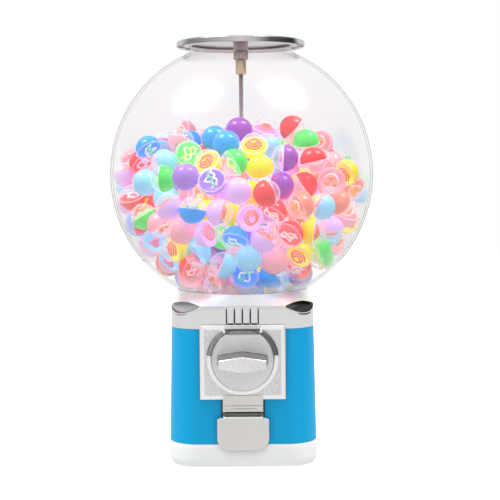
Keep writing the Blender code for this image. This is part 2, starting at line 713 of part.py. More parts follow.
def pawl(name, pivot, tip, front, back):
    """A sprung lever on its own pin. The tip rests just clear of the wheel it works on."""
    at = Vector(polar(*tip, (0, AXLE_Z)))
    centre = Vector(polar(*pivot, (0, AXLE_Z)))
    x, z = centre
    way = (at - centre).normalized()
    side = Vector((-way.y, way.x))
    inward = 1 if side.dot(Vector((0, AXLE_Z)) - centre) > 0 else -1
    side *= inward
    outline = [
        at,
        at - side * 2.6 * MM,
        centre + way * 2 * MM - side * 3.0 * MM,
        centre - way * 3.0 * MM - side * 1.5 * MM,
        centre - way * 3.0 * MM + side * 1.5 * MM,
        centre + way * 2 * MM + side * 2.0 * MM,
        centre + way * (at - centre).length * 0.6 + side * 0.2 * MM,
    ]
    local = [(point.x - x, point.y - z) for point in outline]
    piece = plate(name, [local, circle(1.3 * MM, 12)], -front, -back, STEEL, facing="Y")
    piece.location = (x, 0, z)
    rod(name.replace("pawl", "pin"), (x, -front, z), (x, -77.5 * MM, z), 1.0 * MM, STEEL, 12)
    coil = []
    turns, steps = 3, 10
    for i in range(turns * steps + 1):
        angle = 2 * math.pi * i / steps
        y = -80.0 * MM + 0.72 * MM * i / steps
        coil.append((x + 2.2 * MM * math.cos(angle), y, z + 2.2 * MM * math.sin(angle)))
    tube_along(name.replace("pawl", "spring"), coil, 0.3 * MM, STEEL)


def handle():
    """Round knob with a flat above the coin recess, a six-sided bar grip and a boss that holds the shaft."""
    flat = 30 * MM
    half = math.degrees(math.acos(flat / KNOB_RADIUS))
    disc = circle(KNOB_RADIUS, 44, start=math.radians(90 + half), sweep=math.radians(360 - 2 * half))
    knob = axle_plate("handle", [disc], -KNOB_FRONT_Y, 92 * MM, CAST_ZINC)

    def section(grow, y):
        """The grip's six-sided section, a little larger at its root."""
        length, middle, end = 27.2 * MM + grow, 9.4 * MM + grow / 2, 5 * MM + grow / 2
        corners = [(-length, -end), (0, -middle), (length, -end), (length, end), (0, middle), (-length, end)]
        return [(x, y, z) for x, z in corners]

    ends = [section(1.4 * MM, -97 * MM), section(0, GRIP_FRONT_Y)]
    bar = loft("handle_grip", ends, CAST_ZINC, closed=False)
    bar.location = (0, 0, AXLE_Z)
    fuse(knob, bar, axle_rod("handle_boss", 94 * MM, 87 * MM, 12 * MM))
    cut(knob, axle_rod("handle_socket", 96.4 * MM, 80 * MM, SHAFT_RADIUS + GAP, sides=16))


# ---------------------------------------------------------------- chute bezel and door


def chute_bezel():
    """Casting under the face plate: a stepped neck, two cheeks for the hinge pin and a mouth frame."""
    back = -88 * MM
    half = 23.5 * MM
    frame = rectangle(-half, 30 * MM, half, 70 * MM)
    mouth = rectangle(-20 * MM, 32.8 * MM, 20 * MM, 69.2 * MM)
    bezel = plate("chute_bezel", [frame, mouth], -90.2 * MM, back, CAST_ZINC, facing="Y")
    steps = [
        (back, 69.4 * MM),
        (-94.4 * MM, 69.4 * MM),
        (-94.4 * MM, 72.8 * MM),
        (-93.4 * MM, 72.8 * MM),
        (-93.4 * MM, 76.1 * MM),
        (-92.4 * MM, 76.1 * MM),
        (-92.4 * MM, 82.4 * MM),
        (back, 82.4 * MM),
    ]
    fuse(bezel, plate("bezel_neck", [steps], -half, half, facing="X"))
    for side in (-1, 1):
        low, high = sorted((side * 19.3 * MM, side * half))
        foot, head = HINGE.z - 2 * MM, HINGE.z + 2 * MM
        cheek = box(f"bezel_cheek_{side}", (low, HINGE.y, foot), (high, back - 0.5 * MM, head))
        knuckle = rod(f"bezel_knuckle_{side}", (low, *HINGE.yz), (high, *HINGE.yz), KNUCKLE, sides=16)
        fuse(bezel, cheek, knuckle)
    cut(bezel, rod("pin_hole", (-22.6 * MM, *HINGE.yz), (22.6 * MM, *HINGE.yz), 1.6 * MM, sides=12))
    rod("door_pin", (-22.3 * MM, *HINGE.yz), (22.3 * MM, *HINGE.yz), 1.2 * MM, STEEL, 12)


def chute_door():
    """Flap that hangs in front of the mouth, with rounded lower corners and a barrel round the hinge pin."""
    radius = 14.4 * MM
    notch = 1.6 * MM
    left, right, foot, top = -DOOR_HALF, DOOR_HALF, DOOR_FOOT_Z, DOOR_TOP_Z
    outline = circle(radius, 8, (left + radius, foot + radius), math.pi, math.pi / 2)
    outline += circle(radius, 8, (right - radius, foot + radius), 1.5 * math.pi, math.pi / 2)
    outline += [(right, top - notch), (right - notch, top), (left + notch, top), (left, top - notch)]
    front = DOOR_BACK_Y - DOOR_THICK
    outline = [(x, z - HINGE.z) for x, z in outline]
    door = plate("chute_door", [outline], front - HINGE.y, DOOR_BACK_Y - HINGE.y, CAST_ZINC, facing="Y")
    door.location = HINGE
    half = 18.8 * MM
    web = box("door_web", (-17 * MM, -92.9 * MM, 60 * MM), (17 * MM, -90.9 * MM, 65 * MM))
    fuse(door, web, rod("door_barrel", (-half, *HINGE.yz), (half, *HINGE.yz), KNUCKLE, sides=16))
    cut(door, rod("barrel_bore", (-30 * MM, *HINGE.yz), (30 * MM, *HINGE.yz), 1.6 * MM, sides=12))


# ---------------------------------------------------------------- lid and lock


def lid():
    """Pressed steel lid with a rolled rim, a rubber seal under it and the lock through its centre."""
    hole = 9.3 * MM
    profile = [
        (hole, 506.0 * MM),
        (24 * MM, 505.6 * MM),
        (70 * MM, 504.2 * MM),
        (72.5 * MM, 505.6 * MM),
        (76 * MM, LID_TOP_Z),
        (LID_RADIUS, 504.6 * MM),
        (LID_RADIUS, LID_FOOT_Z),
        (LID_RADIUS - 1.4 * MM, LID_FOOT_Z),
        (LID_RADIUS - 1.4 * MM, 503.8 * MM),
        (73.2 * MM, 504.1 * MM),
        (70.6 * MM, 502.7 * MM),
        (24 * MM, 504.1 * MM),
        (hole, 504.5 * MM),
    ]
    turned("lid", profile, LID_STEEL)
    seal = [(69.6 * MM, 502.3 * MM), (69.6 * MM, 500.4 * MM), (61 * MM, 500.4 * MM), (61 * MM, 502.3 * MM)]
    turned("lid_seal", seal, MECHANISM_PLASTIC, 24)
    bore = 7.9 * MM
    case = [
        (bore, 507.6 * MM),
        (11 * MM, 507.6 * MM),
        (12 * MM, 506.9 * MM),
        (12 * MM, 506.4 * MM),
        (8.95 * MM, 506.4 * MM),
        (8.95 * MM, 495 * MM),
        (bore, 495 * MM),
    ]
    turned("lock_housing", case, STEEL, 24)
    plug = rod("lock_plug", (0, 0, 494.8 * MM), (0, 0, 507.4 * MM), 7.5 * MM, STEEL, 24)
    cut(plug, box("keyway", (-0.9 * MM, -4 * MM, 502 * MM), (0.9 * MM, 4 * MM, 512 * MM)))
    coupling = plate("lock_hex", [circle(8.9 * MM, 6)], 484.1 * MM, 494.4 * MM, BRASS)
    cut(coupling, rod("hex_bore", (0, 0, 480 * MM), (0, 0, 489 * MM), 3.4 * MM, sides=16))
    sleeve = [
        (3.3 * MM, 483.8 * MM),
        (6.2 * MM, 483.8 * MM),
        (6.6 * MM, 483 * MM),
        (6.6 * MM, 466.8 * MM),
        (6 * MM, 466.2 * MM),
        (3.3 * MM, 466.2 * MM),
    ]
    turned("rod_coupler", sleeve, BRASS, 20)


foot_tray()
feet()
body_shell()
collar()
globe()
capsule_load()
centre_rod()
wheel_pan()
capsule_wheel()
capsule_guard()
drop_chute()
face_plate()
coin_mechanism()
handle()
chute_bezel()
chute_door()
lid()
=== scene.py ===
"""Looks of the capsule vending machine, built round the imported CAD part, in a plain white studio."""

import math

import bmesh
import bpy
import numpy as np
from mathutils import Matrix, Vector


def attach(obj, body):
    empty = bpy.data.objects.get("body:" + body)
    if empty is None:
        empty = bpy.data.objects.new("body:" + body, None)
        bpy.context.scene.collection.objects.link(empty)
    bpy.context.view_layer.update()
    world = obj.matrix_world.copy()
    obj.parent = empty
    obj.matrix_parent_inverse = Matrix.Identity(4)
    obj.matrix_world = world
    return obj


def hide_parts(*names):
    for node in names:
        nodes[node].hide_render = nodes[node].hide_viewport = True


MM = 0.001
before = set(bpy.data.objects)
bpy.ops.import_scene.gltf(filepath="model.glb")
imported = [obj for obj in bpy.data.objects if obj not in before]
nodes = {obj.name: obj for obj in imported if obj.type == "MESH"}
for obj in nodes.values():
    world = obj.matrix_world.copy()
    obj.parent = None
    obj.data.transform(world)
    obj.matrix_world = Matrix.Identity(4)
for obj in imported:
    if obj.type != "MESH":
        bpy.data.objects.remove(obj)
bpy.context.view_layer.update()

# Sizes and places of the CAD part, in millimetres
AXLE_Z = 130.5  # height of the handle's axis
HINGE_Y, HINGE_Z = -91.2, 66.0  # the flap's pin
CORNER = 35.0  # radius of the body's upright corners
BODY_TOP_HALF, BODY_FOOT_HALF = 84.9, 87.6
BODY_TOP_Z, BODY_FOOT_Z = 165.1, 29.7
TRAY_HALF, TRAY_FOOT_Z, TRAY_TOP_Z = 88.3, 1.5, 29.4
COLLAR_HALF, COLLAR_FOOT_Z, COLLAR_EDGE_Z = 85.0, 165.4, 190.9
COLLAR_DIP = 8.0  # how far the wall's top edge drops at each corner
COLLAR_SCOOP = 9.0  # how far in each corner's scoop reaches
SEAT_Z = 193
GLOBE_Z, GLOBE_RADIUS, GLOBE_WALL = 344.5, 160.0, 2.5
NECK_RADIUS, NECK_FOOT_Z, NECK_TOP_Z = 64.5, 184.5, 500
PLATE_HALF, PLATE_FOOT_Z, PLATE_TOP_Z = 50.1, 82.7, 170.4
RING_RADIUS, KNOB_RADIUS, KNOB_FLAT = 41.3, 35.8, 30.0
KNOB_BACK_Y, KNOB_FRONT_Y = -92, -98.5
RIB_PITCH = 9.26


# ---------------------------------------------------------------- nodes and materials


def linear(r, g, b):
    """A colour given as 0-255 screen values, as the linear values that shaders take."""
    out = []
    for c in (r / 255, g / 255, b / 255):
        out.append(c / 12.92 if c <= 0.04045 else ((c + 0.055) / 1.055) ** 2.4)
    return tuple(out)


def node(tree, kind, inputs=None, **settings):
    """A shader node. An input is a number, a colour or another node's output."""
    made = tree.nodes.new("ShaderNode" + kind)
    for name, value in settings.items():
        setattr(made, name, value)
    for name, value in (inputs or {}).items():
        socket = made.inputs[name]
        if isinstance(value, bpy.types.NodeSocket):
            tree.links.new(value, socket)
        else:
            socket.default_value = value
    return made


def maths(tree, operation, *values, clamp=False):
    made = node(tree, "Math", dict(enumerate(values)), operation=operation, use_clamp=clamp)
    return made.outputs[0]


def ramp(tree, factor, *stops):
    """A colour ramp through (position, colour) stops."""
    made = node(tree, "ValToRGB", {"Fac": factor})
    row = made.color_ramp.elements
    while len(row) < len(stops):
        row.new(0.5)
    for element, (at, colour) in zip(row, stops):
        element.position = at
        element.color = (*colour, 1)
    return made.outputs["Color"]


def noise(tree, coord, scale, detail=3.0, rough=0.5):
    inputs = {"Vector": coord, "Scale": scale, "Detail": detail, "Roughness": rough}
    return node(tree, "TexNoise", inputs).outputs["Fac"]


def mapped(tree, value, start, end, low=0.0, high=1.0):
    """The value with start..end stretched to low..high, and held there beyond."""
    spans = {"Value": value, "From Min": start, "From Max": end, "To Min": low, "To Max": high}
    return node(tree, "MapRange", spans).outputs["Result"]


def times(tree, colour, level):
    inputs = {"Vector": colour, "Scale": level}
    return node(tree, "VectorMath", inputs, operation="SCALE").outputs["Vector"]


def scaled(colour, by):
    return tuple(min(1.0, c * by) for c in colour)


def let_light_in(made, share):
    """Lets that share of the light through the material, so that what lies behind it isn't left dark."""
    tree = made.node_tree
    out = next(n for n in tree.nodes if n.type == "OUTPUT_MATERIAL")
    opaque = out.inputs["Surface"].links[0].from_socket
    shadow = maths(tree, "MULTIPLY", node(tree, "LightPath").outputs["Is Shadow Ray"], share)
    through = node(tree, "BsdfTransparent", {"Color": (1, 1, 1, 1)})
    mixed = node(tree, "MixShader", {0: shadow, 1: opaque, 2: through.outputs[0]})
    tree.links.new(mixed.outputs[0], out.inputs["Surface"])
    return made


def surface(
    name,
    colour,
    roughness,
    metallic=0.0,
    spread=0.04,
    blotch=30,
    grain=0.0,
    grain_scale=900,
    speckle=0.0,
    **extra,
):
    """A Principled finish whose colour and gloss drift a little.

    grain is a fine relief's height in metres, and speckle the contrast that it adds to the colour.
    """
    made = bpy.data.materials.new(name)
    made.use_nodes = True
    tree = made.node_tree
    shader = tree.nodes["Principled BSDF"]
    coord = node(tree, "TexCoord").outputs["Object"]
    drift = noise(tree, coord, blotch)
    tint = ramp(tree, drift, (0.3, scaled(colour, 1 - spread)), (0.7, scaled(colour, 1 + spread)))
    gloss = mapped(tree, drift, 0.0, 1.0, roughness * 0.85, roughness * 1.15)
    tree.links.new(gloss, shader.inputs["Roughness"])
    shader.inputs["Metallic"].default_value = metallic
    for key, value in extra.items():
        shader.inputs[key.replace("_", " ")].default_value = value
    if grain:
        height = noise(tree, coord, grain_scale, 4, 0.6)
        bump = node(tree, "Bump", {"Height": height, "Strength": 1.0, "Distance": grain})
        tree.links.new(bump.outputs["Normal"], shader.inputs["Normal"])
    if speckle:
        level = mapped(tree, height, 0.35, 0.65, 1 - speckle, 1 + speckle)
        tint = times(tree, tint, level)
    tree.links.new(tint, shader.inputs["Base Color"])
    return made


def clear(name, tint, edge, rough, haze):
    """Thin clear plastic: transparent, with a reflection that grows towards its dark edges and hazy foot."""
    made = bpy.data.materials.new(name)
    made.use_nodes = True
    tree = made.node_tree
    tree.nodes.clear()
    facing = node(tree, "LayerWeight", {"Blend": 0.5}).outputs["Facing"]
    coord = node(tree, "TexCoord").outputs["Object"]
    wave = noise(tree, coord, 14)
    colour = ramp(tree, facing, (0.0, tint), (0.87, tint), (0.95, edge))
    shine = ramp(tree, facing, (0.87, (1, 1, 1)), (0.95, (0.5, 0.5, 0.5)))
    see = node(tree, "BsdfTransparent", {"Color": colour})
    spread = maths(tree, "MULTIPLY", wave, rough * 2)
    gloss = node(tree, "BsdfGlossy", {"Color": shine, "Roughness": spread})
    grazing = maths(tree, "POWER", facing, 5.0)
    height = node(tree, "SeparateXYZ", {"Vector": coord}).outputs["Z"]
    foot = mapped(tree, height, 0.2, 0.222, haze, 0.0)
    veil = maths(tree, "MULTIPLY_ADD", grazing, 0.85, foot)
    amount = maths(tree, "ADD", veil, 0.035, clamp=True)
    mixed = node(tree, "MixShader", {0: amount, 1: see.outputs[0], 2: gloss.outputs[0]})
    shadow = node(tree, "LightPath").outputs["Is Shadow Ray"]
    through = node(tree, "BsdfTransparent", {"Color": (*tint, 1)})
    last = node(tree, "MixShader", {0: shadow, 1: mixed.outputs[0], 2: through.outputs[0]})
    out = node(tree, "OutputMaterial")
    tree.links.new(last.outputs[0], out.inputs["Surface"])
    return made


CHROME = surface("chrome", (0.81, 0.81, 0.815), 0.1, 1.0, spread=0.015)
# Painted sheen: a brighter, bluish and rougher copy of the chrome, for the collar's shoulder, rim and seat.
CHROME_PAINTED_SHEEN = surface("chrome_painted_sheen", (0.93, 0.945, 0.965), 0.36, 0.85, spread=0.01)
# Painted shade: a near-black metal, put in gaps and recesses, under the ribs and along the scoops' lower
# edges, where shade falls.
SHADE_BLACK = surface("painted_shade_black", (0.05, 0.05, 0.05), 0.3, 1.0, spread=0.1)
LID_STEEL = surface("lid_steel", (0.62, 0.62, 0.61), 0.16, 1.0, spread=0.05, blotch=20)
SANDY = {"grain": 0.0005, "grain_scale": 700}
COARSE = {"grain": 0.0008, "grain_scale": 700}
FINE_GRAIN = {"grain": 0.0002, "grain_scale": 800}
ZINC = surface("cast_zinc", (0.78, 0.765, 0.76), 0.34, 1.0, speckle=0.16, **SANDY)
# Painted light: a lighter copy of the cast zinc for the grip's front face, which faces the light.
ZINC_PAINTED_LIT_FACE = surface("cast_zinc_painted_lit_face", (0.85, 0.84, 0.835), 0.34, 1.0, speckle=0.12, **SANDY)
# Painted shade: a dark, rougher copy of the cast zinc for the grip's long faces, which lie in shade.
ZINC_ROUGH_PAINTED_SHADE = surface("cast_zinc_rough_painted_shade", (0.27, 0.27, 0.265), 0.5, 1.0, speckle=0.3, **COARSE)
ZINC_SMOOTH = surface("cast_zinc_smooth", (0.765, 0.745, 0.725), 0.32, 1.0, spread=0.02, grain=0.00003)
# Painted highlight: a near-white copy of the cast zinc for edges and bands that catch the light.
ZINC_PAINTED_HIGHLIGHT = surface("cast_zinc_painted_highlight", (0.97, 0.965, 0.96), 0.2, 1.0, spread=0.02)
# Painted shade: a mid-grey copy of the cast zinc, for the upper left arc and the lower part of the hood's
# recess.
ZINC_PAINTED_MID_SHADE = surface("cast_zinc_painted_mid_shade", (0.34, 0.34, 0.33), 0.2, 1.0, speckle=0.3, **FINE_GRAIN)
# Painted shade: a dark copy of the cast zinc, for the upper right arc, the hood's recess, the neck's step
# lines and the flap's knuckles, tab and barrel.
ZINC_SHADE = surface("cast_zinc_shaded", (0.17, 0.17, 0.165), 0.4, 1.0, speckle=0.2, **FINE_GRAIN)
STEEL = surface("zinc_plated_steel", (0.60, 0.61, 0.61), 0.3, 1.0, spread=0.05)
ROD_STEEL = surface("rod_steel", (0.62, 0.66, 0.65), 0.35, 1.0, spread=0.08, blotch=120)
LOCK_ZINC = surface("lock_zinc", (0.40, 0.40, 0.395), 0.4, 1.0, spread=0.05, blotch=90)
BRASS = surface("brass", (0.70, 0.54, 0.34), 0.34, 1.0, spread=0.06, blotch=90)
BRONZE = surface("bronze", (0.46, 0.4, 0.34), 0.4, 1.0, spread=0.1, blotch=140, grain=0.0002, grain_scale=700)
BLUE = surface("blue_paint", linear(0, 166, 222), 0.34, 0.0, spread=0.02, blotch=9, Specular_IOR_Level=0.22)
WHITE = surface("white_plastic", linear(243, 245, 247), 0.4, 0.0, spread=0.01)
MOULDED = surface("mechanism_plastic", (0.78, 0.78, 0.76), 0.5, 0.0, spread=0.02, grain=0.00005)
SEAL = let_light_in(surface("seal_rubber", (0.95, 0.95, 0.95), 0.5, 0.0, spread=0.02), 0.8)
RUBBER = surface("foot_rubber", (0.05, 0.05, 0.05), 0.8, 0.0, spread=0.1, grain=0.00005)
GLOBE_CLEAR = clear("globe_plastic", (0.974, 0.974, 0.975), (0.55, 0.55, 0.56), rough=0.18, haze=0.3)


def edged(made, middle, rim, socket, start=0.55):
    """Turns the input from its middle value, where the surface faces the eye, to its rim value."""
    tree = made.node_tree
    facing = node(tree, "LayerWeight", {"Blend": 0.5}).outputs["Facing"]
    level = mapped(tree, facing, start, 0.97, middle, rim)
    target = tree.nodes["Principled BSDF"].inputs[socket]
    if target.is_linked:
        level = times(tree, target.links[0].from_socket, level)
    tree.links.new(level, target)
    return made


MILKY = edged(surface("capsule_clear", (0.86, 0.80, 0.88), 0.1, 0.0, spread=0.02), 0.14, 0.6, "Alpha", 0.3)
CAPSULE_CLEAR = let_light_in(MILKY, 0.95)


def lid_rim_steel():
    """Polished rim with a painted reflection of the room's dark corners: its colour runs light and dark from
    left to right.
    """
    made = surface("lid_rim", (0.5, 0.5, 0.5), 0.18, 1.0)
    tree = made.node_tree
    coord = node(tree, "TexCoord").outputs["Object"]
    across = node(tree, "SeparateXYZ", {"Vector": coord}).outputs["X"]
    span = mapped(tree, across, -0.078, 0.078)
    stops = [(0.0, 0.12), (0.035, 0.5), (0.1, 0.33), (0.28, 0.38), (0.5, 0.68), (0.6, 0.55)]
    stops += [(0.72, 0.10), (0.9, 0.09), (0.94, 0.5), (1.0, 0.35)]
    tint = ramp(tree, span, *[(at, (level, level, level * 0.98)) for at, level in stops])
    tree.links.new(tint, tree.nodes["Principled BSDF"].inputs["Base Color"])
    return made


def scoop_chrome():
    """Chrome with a painted reflection, pale on the left and dark on the right, in streaks."""
    made = surface("chrome_scoop", (0.5, 0.5, 0.5), 0.14, 1.0)
    tree = made.node_tree
    coord = node(tree, "TexCoord").outputs["Object"]
    stretched = node(tree, "Mapping", {"Vector": coord, "Scale": (30, 30, 420)}).outputs["Vector"]
    streak = maths(tree, "MULTIPLY", maths(tree, "SUBTRACT", noise(tree, stretched, 1.0), 0.5), 0.06)
    across = maths(tree, "ADD", node(tree, "SeparateXYZ", {"Vector": coord}).outputs["X"], streak)
    span = mapped(tree, across, -0.085, 0.085)
    left, right = (0.44, 0.44, 0.45), (0.04, 0.04, 0.04)
    tint = ramp(tree, span, (0.1, left), (0.75, scaled(left, 0.35)), (0.9, right))
    tree.links.new(tint, tree.nodes["Principled BSDF"].inputs["Base Color"])
    return made


CHROME_SCOOP = scoop_chrome()
LID_RIM = lid_rim_steel()


# ---------------------------------------------------------------- shapes (lengths in millimetres)


def fillet(points, radii, steps=6, closed=True):
    """The 2-D outline with its corners rounded. radii is one radius, or one for each corner."""
    if not isinstance(radii, (list, tuple)):
        radii = [radii] * len(points)
    out = []
    last = len(points) - 1
    for i, (here, radius) in enumerate(zip(points, radii)):
        if radius <= 0 or (not closed and i in (0, last)):
            out.append(tuple(here))
            continue
        here = Vector(here)
        before = Vector(points[i - 1]) - here
        after = Vector(points[(i + 1) % len(points)]) - here
        half = before.angle(after) / 2
        reach = min(radius / math.tan(half), before.length * 0.49, after.length * 0.49)
        start = here + before.normalized() * reach
        end = here + after.normalized() * reach
        for k in range(steps + 1):
            t = k / steps
            out.append(tuple((1 - t) ** 2 * start + 2 * t * (1 - t) * here + t**2 * end))
    return out


def made_mesh(name, points, faces, materials, face_slots=None):
    """A mesh object from points in millimetres."""
    mesh = bpy.data.meshes.new(name)
    mesh.from_pydata([tuple(c * MM for c in p) for p in points], [], faces)
    for material in materials:
        mesh.materials.append(material)
    if face_slots is not None:
        mesh.polygons.foreach_set("material_index", face_slots)
    bm = bmesh.new()
    bm.from_mesh(mesh)
    bmesh.ops.remove_doubles(bm, verts=bm.verts, dist=1e-7)
    bmesh.ops.recalc_face_normals(bm, faces=bm.faces)
    bm.to_mesh(mesh)
    bm.free()
    obj = bpy.data.objects.new(name, mesh)
    bpy.context.scene.collection.objects.link(obj)
    return obj


def smooth(obj, degrees=35):
    obj.data.shade_smooth()
    obj.data.set_sharp_from_angle(angle=math.radians(degrees))
    return obj


def loft(name, rings, materials, closed=True, slots=None):
    """Quads between rings of equal length. slots lists each band's material, or finds it by band, column."""
    count = len(rings[0])
    points = [p for ring in rings for p in ring]
    faces, face_slots = [], []
    bands = len(rings) if closed else len(rings) - 1
    for a in range(bands):
        b = (a + 1) % len(rings)
        for i in range(count):
            j = (i + 1) % count
            faces.append((a * count + i, a * count + j, b * count + j, b * count + i))
            face_slots.append(slots(a, i) if callable(slots) else slots[a] if slots else 0)
    if not closed:
        faces += [tuple(range(count)), tuple((len(rings) - 1) * count + i for i in range(count))]
        face_slots += [face_slots[0], face_slots[-1]]
    return made_mesh(name, points, faces, materials, face_slots)


def revolve(name, profile, materials, steps, axle=False, slots=None, start=0.0, sweep=360.0):
    """A closed (radius, height) profile turned about the centre rod, or with axle=True about the handle."""
    rings = []
    whole = abs(sweep - 360) < 1e-6
    for i in range(steps if whole else steps + 1):
        angle = math.radians(start + sweep * i / steps)
        c, s = math.cos(angle), math.sin(angle)
        if axle:
            rings.append([(r * c, -h, AXLE_Z + r * s) for r, h in profile])
        else:
            rings.append([(r * c, r * s, h) for r, h in profile])
    return loft(name, rings, materials, closed=whole, slots=slots)


def extrude(name, outline, low, high, materials, facing="Y", bevel=0.0, segments=3):
    """A flat outline extruded along an axis, its edges rounded by a Bevel modifier."""
    place = {"Y": lambda a, b, h: (a, h, b), "X": lambda a, b, h: (h, a, b)}[facing]
    rings = [[place(a, b, h) for a, b in outline] for h in (low, high)]
    obj = loft(name, rings, materials, closed=False)
    if bevel:
        soften(obj, bevel, segments)
    return obj


def soften(obj, width, segments, degrees=30):
    """Rounds the edges that turn by more than this angle."""
    modifier = obj.modifiers.new("soft_edges", "BEVEL")
    modifier.width = width * MM
    modifier.segments = segments
    modifier.limit_method = "ANGLE"
    modifier.angle_limit = math.radians(degrees)
    modifier.harden_normals = False
    return obj


def box(name, low, high, materials=(), bevel=0.0):
    (x0, y0, z0), (x1, y1, z1) = low, high
    outline = [(x0, z0), (x1, z0), (x1, z1), (x0, z1)]
    return extrude(name, outline, y0, y1, materials, "Y", bevel)


def cylinder(name, start, end, radius, materials=(), sides=48):
    start, end = Vector(start), Vector(end)
    turn = (end - start).to_track_quat("Z", "Y").to_matrix()
    rings = []
    for at in (start, end):
        ring = []
        for i in range(sides):
            angle = 2 * math.pi * i / sides
            ring.append(tuple(at + turn @ Vector((radius * math.cos(angle), radius * math.sin(angle), 0))))
        rings.append(ring)
    return loft(name, rings, materials, closed=False)


def baked(obj):
    """The object with its modifiers applied."""
    graph = bpy.context.evaluated_depsgraph_get()
    mesh = bpy.data.meshes.new_from_object(obj.evaluated_get(graph))
    obj.modifiers.clear()
    obj.data = mesh
    return obj


def carve(obj, operation, *others):
    """A Boolean with each of the others, applied, and the others removed."""
    for other in others:
        modifier = obj.modifiers.new("carve", "BOOLEAN")
        modifier.operation = operation
        modifier.solver = "EXACT"
        modifier.object = other
    baked(obj)
    for other in others:
        bpy.data.objects.remove(other)
    return obj


def joined(name, *objs):
    """Several objects, modifiers applied, as one piece that keeps their materials."""
    first = baked(objs[0])
    bm = bmesh.new()
    bm.from_mesh(first.data)
    table = list(first.data.materials)
    for other in objs[1:]:
        baked(other)
        start = len(bm.faces)
        bm.from_mesh(other.data)
        bm.faces.ensure_lookup_table()
        own = list(other.data.materials)
        for material in own:
            if material not in table:
                table.append(material)
                first.data.materials.append(material)
        for face in bm.faces[start:]:
            face.material_index = table.index(own[face.material_index])
    bm.to_mesh(first.data)
    bm.free()
    for other in objs[1:]:
        bpy.data.objects.remove(other)
    first.name = name
    first.data.name = name
    return first


def place(obj, body, slot, *replaced):
    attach(obj, body)
    if replaced:
        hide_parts(*replaced)
    return obj


def polar(radius, degrees, centre=(0.0, 0.0)):
    angle = math.radians(degrees)
    return centre[0] + radius * math.cos(angle), centre[1] + radius * math.sin(angle)


def arc(radius, start, end, steps, centre):
    return [polar(radius, start + (end - start) * i / steps, centre) for i in range(steps + 1)]


# ---------------------------------------------------------------- cabinet


SIDES = 224  # points round the lofted square pieces


def square_spots():
    """Places round a rounded square: its side's two directions, share of the flat and corner turn."""
    spots = []
    per_flat, per_corner = SIDES // 8, SIDES // 8
    for quarter in range(4):
        base = math.radians(90 * quarter - 90)
        out = Vector((math.cos(base), math.sin(base)))
        along = Vector((-out.y, out.x))
        for i in range(per_flat):
            share = (i / per_flat) * 2 - 1
            spots.append((out, along, share, 0.0))
        for i in range(per_corner):
            spots.append((out, along, 1.0, math.pi / 2 * i / per_corner))
    return spots


SPOTS = square_spots()


def square_ring(half, corner, height):
    """A ring round a rounded square. height may depend on how far round its corner a point is: 0, 1, 0."""
    ring = []
    flat = half - corner
    for out, along, share, turn in SPOTS:
        point = out * flat + along * (flat * share)
        normal = out * math.cos(turn) + along * math.sin(turn)
        point = point + normal * corner
        z = height(math.sin(2 * turn)) if callable(height) else height
        ring.append((point.x, point.y, z))
    return ring


def round_ring(radius, z):
    """A ring whose points line up with those of the rounded square."""
    ring = []
    for x, y, _ in square_ring(COLLAR_HALF, CORNER, 0.0):
        size = math.hypot(x, y)
        ring.append((x / size * radius, y / size * radius, z))
    return ring


def between(outer, inner, share, heights):
    ring = []
    for a, b, z in zip(outer, inner, heights):
        ring.append((a[0] + (b[0] - a[0]) * share, a[1] + (b[1] - a[1]) * share, z))
    return ring


